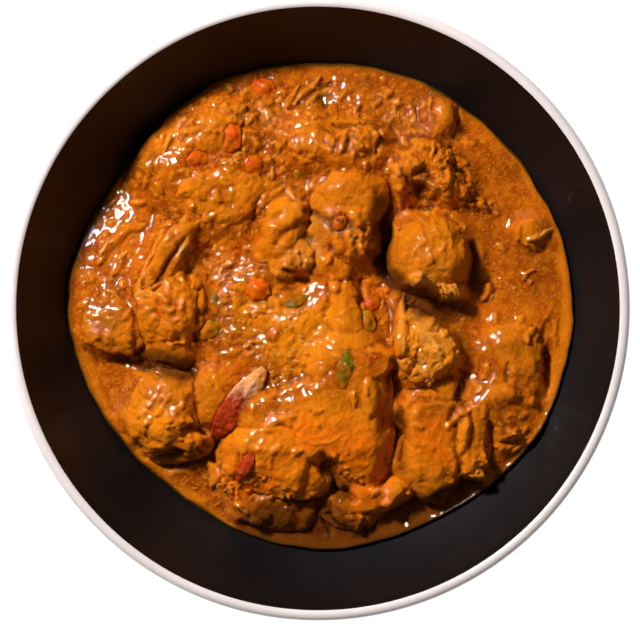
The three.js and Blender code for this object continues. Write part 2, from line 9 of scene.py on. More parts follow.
import bpy
import numpy as np
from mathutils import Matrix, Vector
from mathutils.bvhtree import BVHTree


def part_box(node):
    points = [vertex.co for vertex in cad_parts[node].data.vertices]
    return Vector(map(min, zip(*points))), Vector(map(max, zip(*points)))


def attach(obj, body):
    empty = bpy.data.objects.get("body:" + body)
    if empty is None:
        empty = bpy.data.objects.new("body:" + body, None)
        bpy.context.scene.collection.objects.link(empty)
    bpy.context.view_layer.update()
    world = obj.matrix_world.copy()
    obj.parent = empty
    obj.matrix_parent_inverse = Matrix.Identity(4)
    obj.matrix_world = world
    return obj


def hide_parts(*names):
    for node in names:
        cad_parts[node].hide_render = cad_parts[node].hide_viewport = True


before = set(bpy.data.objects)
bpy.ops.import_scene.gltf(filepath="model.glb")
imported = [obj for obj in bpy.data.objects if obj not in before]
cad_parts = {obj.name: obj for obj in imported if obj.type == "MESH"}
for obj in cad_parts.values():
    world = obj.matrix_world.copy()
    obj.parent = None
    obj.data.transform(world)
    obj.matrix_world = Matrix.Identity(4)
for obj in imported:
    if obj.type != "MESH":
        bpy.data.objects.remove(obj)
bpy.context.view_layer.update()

# ---------------------------------------------------------------- sizes

MM = 0.001
BOWL_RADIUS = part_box("bowl")[1].x / MM
BOWL_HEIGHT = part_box("bowl")[1].z / MM
LIP_WIDTH = 4.0
LIP_HALF = LIP_WIDTH / 2
INSIDE_FLOOR = 8.0
FOOT_RADIUS = 44.0
FOOT_WIDTH = 4.5
FOOT_HEIGHT = 8.0
FOOT_DRAFT = 1.5
RECESS_HEIGHT = 3.5
BOWL_SIDES = 256
GLAZE_OVER = 3  # by how many points the black glaze comes up on the inside of the lip

# The inside of the bowl is part of a ball through the lip and the middle of the floor
LIP_INSIDE = BOWL_RADIUS - LIP_WIDTH
LIP_MIDDLE = BOWL_HEIGHT - LIP_HALF
INSIDE_DEPTH = LIP_MIDDLE - INSIDE_FLOOR
INSIDE_RADIUS = (LIP_INSIDE**2 + INSIDE_DEPTH**2) / (2 * INSIDE_DEPTH)
INSIDE_CENTRE = INSIDE_FLOOR + INSIDE_RADIUS

MAP_REACH = 90.0
COARSE_CELL = 0.5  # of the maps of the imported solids
FINE_CELL = 0.3  # of the maps of the sauce's relief and its tones
GRAVY_GRID = 308  # cells along each side of the gravy's top
MEAT_VOXEL = 0.47
SMALL_VOXEL = 0.3

# ---------------------------------------------------------------- noise

CORNERS = np.array([(i, j, k) for i in (0, 1) for j in (0, 1) for k in (0, 1)])
NEIGHBOURS = np.array([(i, j, k) for i in (-1, 0, 1) for j in (-1, 0, 1) for k in (-1, 0, 1)])
WAYS = np.random.default_rng(5).normal(size=(128, 3))
WAYS /= np.linalg.norm(WAYS, axis=1, keepdims=True)
HASH_TOP = 0xFFFFF
NOISE_GAIN = 1.7  # brings the noise's lumps to a height of about 1
FAR = 9.0  # farther off, in cells squared, than any bump in the cells around
SPOT_MARGIN = 0.15  # how far inside its cell a bump's middle stays
BUMP_REACH = 0.4  # how far a bump reaches, in cells squared


def scrambled(cells, seed):
    """A repeatable whole number for each cell of a lattice."""
    mixed = cells[:, 0] * 73856093 ^ cells[:, 1] * 19349663 ^ cells[:, 2] * 83492791 ^ seed * 97531
    mixed = (mixed ^ (mixed >> 15)) * 1274126177
    mixed = (mixed ^ (mixed >> 13)) * 461845907
    return (mixed ^ (mixed >> 16)) & HASH_TOP


def lumps(points, length, seed=0):
    """Smooth noise from about -1 to 1, with its lumps about length apart."""
    scaled = points / length
    cell = np.floor(scaled).astype(np.int64)
    part = scaled - cell
    ease = part**3 * (part * (part * 6 - 15) + 10)
    total = np.zeros(len(points))
    for corner in CORNERS:
        way = WAYS[scrambled(cell + corner, seed) % len(WAYS)]
        share = np.prod(np.where(corner == 1, ease, 1 - ease), axis=1)
        total += share * np.einsum("ij,ij->i", way, part - corner)
    return total * NOISE_GAIN


def pebbles(points, length, seed=0, fill=1.0):
    """Round bumps from 0 to 1, one in each cell of that length. fill is the share of cells that
    hold one. Gives the height and a number from 0 to 1 of the nearest bump."""
    scaled = points / length
    cell = np.floor(scaled).astype(np.int64)
    part = scaled - cell
    nearest = np.full(len(points), FAR)
    own = np.zeros(len(points))
    for step in NEIGHBOURS:
        there = cell + step
        spot = np.stack([scrambled(there, seed + i) for i in range(3)], axis=1) / HASH_TOP
        number = scrambled(there, seed + 7) / HASH_TOP
        away = np.sum((step + SPOT_MARGIN + (1 - 2 * SPOT_MARGIN) * spot - part) ** 2, axis=1)
        away = np.where(number < fill, away, FAR)
        closer = away < nearest
        nearest = np.where(closer, away, nearest)
        own = np.where(closer, number, own)
    return np.clip(1 - nearest / BUMP_REACH, 0, 1), own


# ---------------------------------------------------------------- small tools


def points_of(mesh):
    """A mesh's vertices, in millimetres."""
    flat = np.zeros(len(mesh.vertices) * 3)
    mesh.vertices.foreach_get("co", flat)
    return flat.reshape(-1, 3) / MM


def normals_of(mesh):
    flat = np.zeros(len(mesh.vertices) * 3)
    mesh.vertex_normals.foreach_get("vector", flat)
    return flat.reshape(-1, 3)


def set_points(mesh, points):
    mesh.vertices.foreach_set("co", (points * MM).ravel())
    mesh.update()


def new_piece(name, mesh, material, slot, *nodes):
    """A shown piece that stands for these CAD nodes and rides with the bowl."""
    piece = bpy.data.objects.new(name, mesh)
    bpy.context.scene.collection.objects.link(piece)
    mesh.materials.clear()
    mesh.materials.append(material)
    mesh.shade_smooth()
    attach(piece, "root")
    if nodes:
        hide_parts(*nodes)
    return piece


def mesh_from(name, points, faces):
    mesh = bpy.data.meshes.new(name)
    mesh.from_pydata((points * MM).tolist(), [], faces)
    mesh.update()
    return mesh


def store(mesh, name, values):
    """Keeps a number for each vertex, for the material."""
    attribute = mesh.attributes.new(name, "FLOAT", "POINT")
    attribute.data.foreach_set("value", np.ascontiguousarray(values, dtype=np.float32))


def smooth_step(low, high, values):
    share = np.clip((values - low) / (high - low), 0, 1)
    return share * share * (3 - 2 * share)


def ring_faces(rings, sides):
    """Faces over rings of points that are closed by a point at each end. Gives the faces, and the
    ring that each of them starts from."""
    faces = []
    top = 1 + (rings - 1) * sides
    for side in range(sides):
        following = (side + 1) % sides
        faces.append((0, 1 + following, 1 + side))
        for low in range(1, top, sides):
            high = low + sides
            faces.append((low + side, low + following, high + following, high + side))
        faces.append((top + side, top + following, top + sides))
    return faces, list(range(rings + 1)) * sides


SCATTER = 0.6  # how far most places lie off their line, as a share of its reach


def near_line(draw, count, reach, path):
    """Random places round a line of points."""
    path = np.array(path, dtype=float)
    share = draw.random(count) * (len(path) - 1)
    low = np.minimum(share.astype(int), max(len(path) - 2, 0))
    after = np.minimum(low + 1, len(path) - 1)
    part = (share - low)[:, None]
    return path[low] * (1 - part) + path[after] * part + draw.normal(size=(count, 2)) * reach * SCATTER


def joined(nodes):
    """The corners, in metres, and the faces of some CAD nodes together."""
    corners = []
    faces = []
    for node in nodes:
        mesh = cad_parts[node].data
        first = len(corners)
        corners += [tuple(v.co) for v in mesh.vertices]
        faces += [[first + i for i in polygon.vertices] for polygon in mesh.polygons]
    return corners, faces


def remeshed(node, voxel, rounds):
    """A CAD node's form in small even faces, with its facets smoothed away."""
    corners, faces = joined([node])
    faceted = bpy.data.meshes.new("faceted")
    faceted.from_pydata(corners, [], faces)
    worked = bpy.data.objects.new("worked", faceted)
    bpy.context.scene.collection.objects.link(worked)
    remesh = worked.modifiers.new("remesh", "REMESH")
    remesh.mode = "VOXEL"
    remesh.voxel_size = voxel * MM
    smooth = worked.modifiers.new("smooth", "SMOOTH")
    smooth.factor = 0.5
    smooth.iterations = rounds
    depsgraph = bpy.context.evaluated_depsgraph_get()
    mesh = bpy.data.meshes.new_from_object(worked.evaluated_get(depsgraph))
    bpy.data.objects.remove(worked)
    return mesh


# ---------------------------------------------------------------- height maps

LOOK_FROM = BOWL_HEIGHT + 5.0
NO_PIECE = -20.0  # the height of a map where no piece is seen
SURE_WEIGHT = 0.02  # how much must be known round a cell before it is filled
SEEN_THROUGH = 0.6  # meat no deeper than this below the gravy's top still counts as standing in it
PIECE_EDGE = 0.6  # over which distance the level beside a piece isn't trusted
PIECE_SHARE = 0.03


def map_lines(cell):
    return np.linspace(-MAP_REACH, MAP_REACH, int(2 * MAP_REACH / cell) + 1)


COARSE_LINE = map_lines(COARSE_CELL)
FINE_LINE = map_lines(FINE_CELL)
FINE_SIDE = len(FINE_LINE)


def heights_from_above(nodes):
    """What a look straight down on some CAD nodes meets, row by row in Y, or nan."""
    tree = BVHTree.FromPolygons(*joined(nodes))
    down = Vector((0, 0, -1))
    heights = np.full((len(COARSE_LINE), len(COARSE_LINE)), np.nan)
    for row, y in enumerate(COARSE_LINE):
        for column, x in enumerate(COARSE_LINE):
            if x * x + y * y < MAP_REACH**2:
                hit = tree.ray_cast(Vector((x * MM, y * MM, LOOK_FROM * MM)), down)[0]
                if hit is not None:
                    heights[row, column] = hit.z / MM
    return heights


def blurred(values, reach):
    """A map evened out over that many millimetres."""
    cell = 2 * MAP_REACH / (len(values) - 1)
    steps = max(int(3 * reach / cell), 1)
    line = np.exp(-((np.arange(-steps, steps + 1) * cell / reach) ** 2) / 2)
    line /= line.sum()
    for axis in (0, 1):
        border = [(steps, steps) if a == axis else (0, 0) for a in (0, 1)]
        padded = np.pad(values, border, mode="edge")
        values = np.apply_along_axis(np.convolve, axis, padded, line, "valid")
    return values


def evened(values, known, reach):
    """Fills a map's unknown cells from the known ones round them."""
    filled = np.where(known, values, 0.0)
    missing = ~known
    while missing.any():
        weight = blurred((~missing).astype(float), reach)
        total = blurred(np.where(missing, 0.0, filled), reach)
        ready = missing & (weight > SURE_WEIGHT)
        if not ready.any():
            break
        filled[ready] = total[ready] / weight[ready]
        missing = missing & ~ready
    return filled


def skirted(heights, slope, reach):
    """A map of tops with a slope falling away all round them, over that many millimetres."""
    skirt = heights.copy()
    ways = [(dx, dy) for dx in (-1, 0, 1) for dy in (-1, 0, 1) if dx or dy]
    for _ in range(int(reach / COARSE_CELL)):
        for dx, dy in ways:
            fall = slope * COARSE_CELL * math.hypot(dx, dy)
            skirt = np.maximum(skirt, np.roll(skirt, (dx, dy), axis=(0, 1)) - fall)
    return skirt


def closed_up(heights, slope, reach):
    """A map with its narrow grooves filled."""
    return -skirted(-skirted(heights, slope, reach), slope, reach)


def smooth_highest(first, second, blend):
    """The higher of two maps, with a hollow curve of that many millimetres where they meet."""
    near = np.clip(1 - np.abs(first - second) / blend, 0, 1)
    return np.maximum(first, second) + near * near * blend / 4


def looked_up(values, points):
    """A map's values at points, between its cells."""
    side = len(values)
    column = np.clip((points[:, 0] / MAP_REACH + 1) / 2 * (side - 1), 0, side - 1.001)
    row = np.clip((points[:, 1] / MAP_REACH + 1) / 2 * (side - 1), 0, side - 1.001)
    c = column.astype(int)
    r = row.astype(int)
    u = column - c
    v = row - r
    low = values[r, c] * (1 - u) + values[r, c + 1] * u
    high = values[r + 1, c] * (1 - u) + values[r + 1, c + 1] * u
    return low * (1 - v) + high * v


MEAT_NODES = sorted(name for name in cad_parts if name.startswith("chicken_"))
TOPPING_NODES = sorted(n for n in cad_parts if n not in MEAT_NODES and n not in ("bowl", "gravy"))

gravy_seen = heights_from_above(["gravy"])
meat_seen = np.nan_to_num(heights_from_above(MEAT_NODES), nan=NO_PIECE)
topping_seen = np.nan_to_num(heights_from_above(TOPPING_NODES), nan=NO_PIECE)

# Where meat or a topping stands in the gravy, its level goes on under them as if they weren't there
stands_in = meat_seen > np.nan_to_num(gravy_seen, nan=0.0) - SEEN_THROUGH
near_piece = blurred((stands_in | (topping_seen > 0)).astype(float), PIECE_EDGE) > PIECE_SHARE
open_gravy = ~np.isnan(gravy_seen) & ~near_piece
gravy_flat = blurred(evened(gravy_seen, open_gravy, 2.0), 1.2)

# ---------------------------------------------------------------- laid relief

# Each line has its half width, its height or depth, and its points. Rolls are round strands,
# folds and lumps that stand up from the food
ROLLS = [
    # the smooth pool on the left
    (1.7, 1.1, (-64.2, 43.5), (-61.5, 47.3), (-57.6, 48.6), (-56, 44.5), (-57.4, 39.6)),
    (1.6, 0.7, (-59, 43.5)),
    (1.2, 0.6, (-62, 42)),
    (1.2, 0.6, (-60.5, 40.5)),
    (1.5, 0.9, (-62.5, 35.4), (-57.5, 35.2)),
    (1.8, 0.9, (-66.5, 38), (-70.5, 34.6), (-74, 30)),
    (2.4, 0.8, (-60.5, 31), (-59, 28.5)),
    (2.2, 1.2, (-73, 15), (-69, 21.5), (-63, 26.6), (-57.5, 27.8)),
    (2.6, 0.9, (-71.5, 18), (-70.5, 25)),
    (1.8, 0.8, (-68.6, 28.6)),
    (1.8, 0.8, (-73, 28)),
    (1.4, 0.7, (-69.2, 31.8)),
    (2.0, 1.0, (-68, 11), (-64.2, 18)),
    (2.0, 1.0, (-64.6, 9.6), (-64.4, 6.8)),
    (1.8, 0.8, (-67, 3.6)),
    (1.8, 0.9, (-79, 0.4), (-76, 3)),
    (1.6, 0.7, (-74, -2.6)),
    (2.0, 0.8, (-76, 13), (-74, 9)),
    (2.2, 0.7, (-70, 6), (-71, 1)),
    (1.5, 0.9, (-62, -1), (-64, -3.4)),
    (2.2, 0.8, (-76, -7.5), (-72, -9.5)),
    (2.0, 0.8, (-66, -10), (-62, -12)),
    # shreds at the upper left
    (1.8, 1.2, (-42, 67)),
    (1.6, 1.0, (-38, 69.6)),
    (1.8, 1.1, (-34, 73)),
    (1.6, 1.0, (-30, 74.5), (-28, 72.5)),
    (1.5, 1.0, (-36, 64)),
    (1.6, 1.1, (-31, 67), (-29, 64)),
    (1.8, 1.0, (-47, 62), (-44, 63.4)),
    (1.8, 1.1, (-52, 57), (-51.5, 60)),
    (1.2, 1.5, (-48.3, 57), (-50.3, 51.5)),
    (1.5, 1.0, (-45, 57.5), (-38, 58.6), (-33, 57.5)),
    (1.2, 0.8, (-52, 50), (-53, 45)),
    (1.6, 1.0, (-53.2, 41.5), (-51, 38)),
    (1.7, 1.0, (-46, 37), (-43, 38.5)),
    (1.6, 1.0, (-48, 33), (-46, 30)),
    (1.5, 0.9, (-41, 33.5)),
    (1.6, 1.0, (-37, 31), (-35, 28)),
    (1.5, 0.9, (-52, 27), (-49, 29)),
    (1.3, 0.8, (-40, 44), (-37, 42.4)),
    (1.4, 0.9, (-33, 45), (-30, 42)),
    (1.4, 0.9, (-45, 45.5), (-42, 43)),
    (1.5, 0.9, (-34, 38), (-32, 35)),
    (1.6, 1.0, (-39, 38), (-37, 36)),
    # the back
    (1.6, 1.4, (-7.5, 68.5), (-3, 73), (1, 77)),
    (1.3, 1.0, (-11, 66.5), (-8.5, 70.5), (-6, 74)),
    (1.2, 0.9, (22, 69.5), (24.5, 72.5)),
    (1.2, 0.9, (25, 65), (27, 69.5)),
    (1.2, 0.9, (18.5, 66.5), (20.5, 69)),
    (1.1, 0.9, (7, 69), (9.5, 72.5)),
    (1.1, 0.8, (12, 64.5), (14, 67.5)),
    (1.2, 1.0, (-3.5, 68), (0, 71), (4, 73)),
    (1.5, 0.8, (-10, 64.8), (-5, 65.2)),
    (1.2, 0.8, (-3.5, 64), (2.5, 63.6)),
    (1.2, 0.7, (-13, 71.5), (-10.5, 71.8)),
    (1.6, 0.9, (-20, 68.3), (-15, 68)),
    (1.5, 1.0, (-23.5, 61), (-20, 64.5)),
    (1.3, 0.8, (-15.5, 59.3)),
    (1.8, 0.9, (-27, 64.5), (-24.5, 66)),
    (2.0, 1.0, (-17, 66), (-16, 62)),
    (1.8, 1.0, (-21, 56), (-19, 53)),
    (1.6, 0.9, (-24, 57), (-25, 54)),
    (1.5, 0.8, (-14, 55), (-13, 51)),
    (1.5, 1.3, (6.8, 50.5), (8, 53.5), (9.5, 57)),
    (1.3, 1.0, (3, 57), (5.5, 53)),
    (1.3, 1.0, (11, 56.5), (15, 56)),
    (1.4, 1.0, (12.5, 53.5), (14.5, 52.5)),
    (1.4, 1.5, (15.5, 59.5), (18, 58.5), (18.5, 55.5)),
    (1.4, 0.9, (-9, 56.5), (-8.5, 53.5), (-6, 51.5)),
    (1.2, 0.7, (-3, 49.5), (-1.5, 50.3)),
    (1.6, 1.0, (0, 53.5), (5, 51.5)),
    (1.6, 1.0, (16, 48), (15.5, 45.5)),
    (1.5, 0.9, (-17, 49.5), (-15, 47.5)),
    (1.5, 0.9, (-13, 45.5), (-12, 45)),
    (1.2, 1.7, (-15, 46.4), (-14.5, 43)),
    (1.6, 1.0, (20.5, 71), (23, 68.5), (28, 68)),
    (1.2, 0.7, (21, 76), (22.5, 75.5)),
    (1.5, 0.9, (30.5, 67.5), (31, 63.5)),
    (1.2, 0.8, (35, 64), (35, 62)),
    (1.2, 0.7, (32, 72.3)),
    (1.6, 0.8, (27, 57), (29, 54)),
    (1.8, 0.9, (31, 59), (35, 58)),
    (1.5, 0.8, (48.5, 54.7), (52, 54.6)),
    (1.1, 1.2, (36.6, 65.5), (37.2, 70), (39, 71.6), (42.5, 71)),
    # the pair of chunks in the middle of the back half
    (1.5, 1.0, (-20.5, 31), (-17, 36.5), (-11, 40.5)),
    (1.4, 0.9, (-9.5, 39.5), (-8, 36.5)),
    (1.8, 1.0, (-22.5, 34), (-24, 31.5)),
    (1.8, 1.1, (6.5, 31), (8, 27)),
    (1.8, 1.1, (12, 30.5), (13, 27)),
    (1.5, 1.0, (15.5, 28.5), (17, 25)),
    (1.6, 1.0, (9, 24), (11.5, 19)),
    (1.5, 0.9, (5, 18.5), (3, 15)),
    (1.4, 0.8, (14, 21), (15.5, 17)),
    # flakes behind the round chunk
    (2.2, 1.3, (31, 55), (35, 54.5), (40, 53.5)),
    (1.6, 1.1, (30, 50), (33, 46.5)),
    (1.3, 0.9, (38, 47), (42.5, 46.2)),
    (1.6, 1.2, (42.3, 52), (43, 48)),
    (1.8, 1.5, (42.5, 45), (42, 39.5)),
    (1.6, 1.1, (45.5, 49.5), (49.5, 47.5)),
    (1.5, 1.2, (47.5, 39.5), (47.8, 36)),
    (1.8, 1.1, (50.5, 34), (55.5, 33.5)),
    (1.6, 1.0, (53, 36), (56, 32)),
    (1.4, 1.3, (26, 47), (26, 43)),
    (1.2, 1.1, (27, 40), (27, 33)),
    (1.3, 0.9, (38.5, 40), (36.5, 36.5)),
    (1.5, 1.0, (41, 37), (43.5, 36)),
    (1.4, 0.9, (30, 37.5), (32.5, 36)),
    # fibres over the round chunk, and its crumbs
    (1.2, 0.6, (33.6, 27), (34.6, 21.5)),
    (1.2, 0.6, (37.6, 28), (39.4, 22.5)),
    (1.1, 0.6, (30.6, 22.5), (31.8, 17.5)),
    (1.2, 0.6, (42, 25), (43, 19.5)),
    (1.0, 0.5, (35.8, 19.5), (37, 15)),
    (1.0, 0.5, (46.5, 22), (46.5, 16)),
    (2.6, 1.8, (31.6, 10.4), (35, 9.6)),
    (3.4, 2.2, (40.5, 6.8), (45, 5.4)),
    # the right side
    (0.9, 1.0, (68.5, 22.8), (73, 24), (77.2, 26.4)),
    (1.2, 1.0, (66, 27), (66.3, 23)),
    (1.3, 1.0, (68, 22), (72, 19.5)),
    (1.0, 1.0, (67.8, 9.5), (68.5, 12), (71.5, 12.6)),
    (1.0, 0.8, (69, 8.5), (70.5, 9)),
    (1.6, 0.9, (59.5, 22), (61, 19)),
    (2.0, 1.8, (54.5, 3), (57, 8)),
    (1.3, 0.9, (58.4, -1.5), (58.6, -5)),
    (1.4, 1.0, (67.5, -2.5), (66, -5)),
    (1.5, 1.5, (71, -7), (68.5, -9), (68.5, -11.5)),
    (1.3, 0.7, (52, -8)),
    (1.3, 0.7, (78, -13), (78.5, -4)),
    (2.2, 1.3, (55.5, -18), (54, -23)),
    (1.6, 1.0, (53.5, -25.5), (51.5, -27.5)),
    (2.0, 1.2, (50.5, -30.5), (49, -33.5)),
    (1.8, 1.0, (54.5, -32), (54, -35)),
    (2.6, 1.5, (49, -37), (47.5, -42), (46.5, -47)),
    (2.0, 1.4, (47.5, -49), (50, -53), (54.5, -55.5)),
    (1.6, 1.0, (53.5, -47), (54, -51)),
    (1.5, 0.9, (42, -39.5), (43.5, -36.5)),
    (2.4, 1.0, (61, -27), (66, -29)),
    (2.2, 1.5, (62.5, -40.5), (66, -41)),
    (1.6, 1.2, (71.5, -40), (74, -40.8)),
    (1.8, 1.2, (64, -47.5), (67.5, -47)),
    (1.6, 1.0, (60.5, -52.5), (63.5, -51.5)),
    (1.5, 0.9, (70, -32), (71.5, -29)),
    (1.5, 0.8, (66.5, -36), (69, -34)),
    (1.5, 1.0, (31, -38), (34, -38.5)),
    (1.3, 1.0, (43, -57), (45, -57.5)),
    (0.9, 1.2, (29, -61), (32.5, -61.6)),
    (2.0, 1.2, (21, -64.5), (24, -63.5)),
    # the middle
    (2.2, 1.2, (5, 10.5), (6, 5.5)),
    (2.6, 1.0, (9, 9), (12, 4)),
    (2.0, 1.0, (16, 9), (21, 9.5)),
    (1.6, 0.9, (22, 9.5), (22.5, 5)),
    (1.4, 0.8, (16, 5.5), (15.5, 3)),
    (0.9, 0.9, (-24, -13), (-22, -11.2), (-18.5, -10.4)),
    (1.3, 0.9, (-20.5, 17.5), (-17, 15.5)),
    (1.3, 0.8, (-24, 20.5), (-23, 19.5)),
    (1.2, 0.8, (-12.5, -2), (-13.5, 3)),
    (1.4, 0.8, (-11.5, -4.5), (-9.5, -5.5)),
    # the torn flap at the right of the middle: a strand, a folded rim, and a ragged fringe
    (2.6, 2.4, (28.1, 3), (27.5, -2), (27.2, -8), (27.2, -15)),
    (1.7, 1.6, (30, -1), (35.7, -2.6), (40, -6.2), (43.6, -9.4), (46, -14.4)),
    (1.0, 0.9, (30.5, -2.6), (34, -4), (38.6, -7.4)),
    (1.1, 0.8, (37, -8.5), (41, -9.5), (43.2, -13)),
    (0.8, 0.7, (31.5, -4.6), (34.5, -6.4), (36.6, -9)),
    (1.6, 0.9, (41.2, -8.2)),
    (1.3, 0.8, (44.4, -12)),
    (1.4, 0.8, (36.8, -4.8)),
    (1.5, 0.9, (43.2, -16.8)),
    (1.4, 0.8, (32.6, -2.2)),
    (1.2, 0.8, (30.6, -13), (33.4, -12.2)),
    (1.2, 0.8, (38.4, -12.4), (40.4, -15.4)),
    (1.5, 0.9, (45.6, -14), (46, -18), (44, -21)),
    (1.3, 0.9, (26.5, -16.5), (29, -19.8)),
    (1.3, 0.9, (31.5, -20.8)),
    (1.2, 0.8, (34, -17.5)),
    (1.5, 0.7, (37.5, -14.5)),
    (1.1, 0.7, (31.5, -14.5)),
    (1.2, 0.8, (38, -19.5), (41, -18)),
    (1.2, 0.8, (41, -20.5)),
    (1.0, 1.0, (34, -21), (36.8, -24.8)),
    (1.4, 1.0, (36.5, -22.5), (36, -25.6)),
    (1.2, 0.8, (39.5, -22.5)),
    (0.8, 0.6, (33, -7), (35, -9.5)),
    (0.8, 0.6, (37, -9), (39, -13)),
    (0.9, 0.6, (30.5, -6), (30.3, -10)),
    # the long chunk at the front
    (3.0, 1.0, (16.5, -23), (17, -35)),
    (1.2, 0.9, (15.8, -25), (15.8, -28)),
    (0.5, 0.4, (-7, -40.5), (-4.5, -43), (-1, -44.2), (3.5, -43.6), (6, -42.2), (8, -40.6)),
    (1.3, 0.9, (11.8, -27.5), (11.8, -31.5)),
    (2.0, 1.1, (18, -61.5), (19.5, -59.5)),
    (1.4, 0.8, (-1.5, -34), (1.2, -32.5)),
    (1.2, 0.6, (-0.8, -38), (0.8, -37.8)),
    # the broad chunk beside it and what hangs below it
    (2.4, 0.8, (-17, -40), (-14, -37.2), (-8, -35.2)),
    (2.2, 0.7, (-22, -46), (-18.5, -45.2)),
    (1.8, 0.6, (-15, -46.5), (-12, -44.3)),
    (1.6, 0.7, (-9.3, -38)),
    (1.6, 0.9, (-8.5, -46.5), (-5.5, -46.5)),
    (1.2, 1.2, (-21.5, -62)),
    (1.2, 1.2, (-16.5, -62.8), (-14.5, -62.2)),
    (1.1, 1.1, (-9.5, -61.5)),
    (1.3, 1.3, (-2, -61.5), (1.5, -62)),
    (1.0, 0.9, (-24, -56.5), (-22.5, -57), (-21, -56)),
    (2.2, 1.4, (-36, -51), (-34, -55), (-35.5, -59)),
    (1.4, 1.0, (-29.5, -52), (-28, -56)),
    (1.5, 1.0, (-31, -57.5), (-28.5, -61)),
    (1.6, 1.0, (-27.5, -62.5), (-25, -66)),
    (1.8, 1.2, (-26, -64), (-23, -67.5)),
    (2.0, 1.0, (-22, -70), (-18, -70.5)),
    (1.4, 0.9, (-19, -66.5), (-15.5, -70)),
    (1.6, 1.0, (9.5, -68.5), (11.5, -69.5)),
    (1.5, 1.0, (13, -68.5), (15, -69)),
    (2.0, 1.2, (13, -72), (14.5, -75.5)),
    (1.8, 1.0, (6, -68), (8, -71)),
    # the chunk at the lower left
    (1.5, 0.9, (-58.5, -24), (-56.5, -28.5)),
    (1.6, 0.8, (-56.5, -34), (-57, -41)),
    (1.6, 0.8, (-49.5, -34), (-49, -39)),
    (1.4, 0.8, (-54, -29), (-51, -29.5)),
    (1.3, 1.0, (-60.5, -32), (-58, -29)),
    (1.2, 0.9, (-56, -32), (-53.6, -29.6)),
    (1.3, 0.9, (-59, -36), (-57, -33.5)),
    (1.3, 0.9, (-53, -35), (-50.6, -32.6)),
    (1.2, 0.9, (-56, -38), (-54, -35.5)),
    (1.1, 0.8, (-49.6, -30.4), (-48, -28.4)),
    (1.3, 0.7, (-54, -21.5), (-52.5, -23)),
    (1.2, 0.6, (-44.5, -33), (-44.5, -30.5)),
    (1.4, 1.0, (-43.5, -43.5), (-41, -43.6)),
    (1.3, 0.8, (-39.5, -43)),
    # upright folds of the block at the left, and the long strands behind it
    (3.0, 0.7, (-56, 0), (-55.5, -6), (-56.5, -11)),
    (2.6, 0.5, (-50, 4), (-49.6, -3), (-48.5, -10), (-47, -16)),
    (2.2, 0.5, (-44.5, 2), (-44, -5), (-43, -12)),
    (1.2, 0.6, (-38.4, 5), (-38.2, -1)),
    (1.6, 0.8, (-46.5, 13), (-44.5, 9)),
    (1.5, 0.8, (-52, 9), (-48.5, 10.5)),
    (1.4, 0.7, (-45.6, 6)),
    (0.9, 0.9, (-58.8, 5.5), (-57.5, 12), (-54, 19), (-51, 26)),
    (1.0, 0.8, (-56.5, 6), (-54.5, 13), (-50.5, 20), (-46.5, 27)),
    (1.0, 0.7, (-53.5, 8.5), (-50, 15), (-46.5, 20.5)),
    (1.8, 0.9, (-45, 27.5), (-42.5, 29.5)),
    (1.5, 0.8, (-48.5, 28.5)),
]
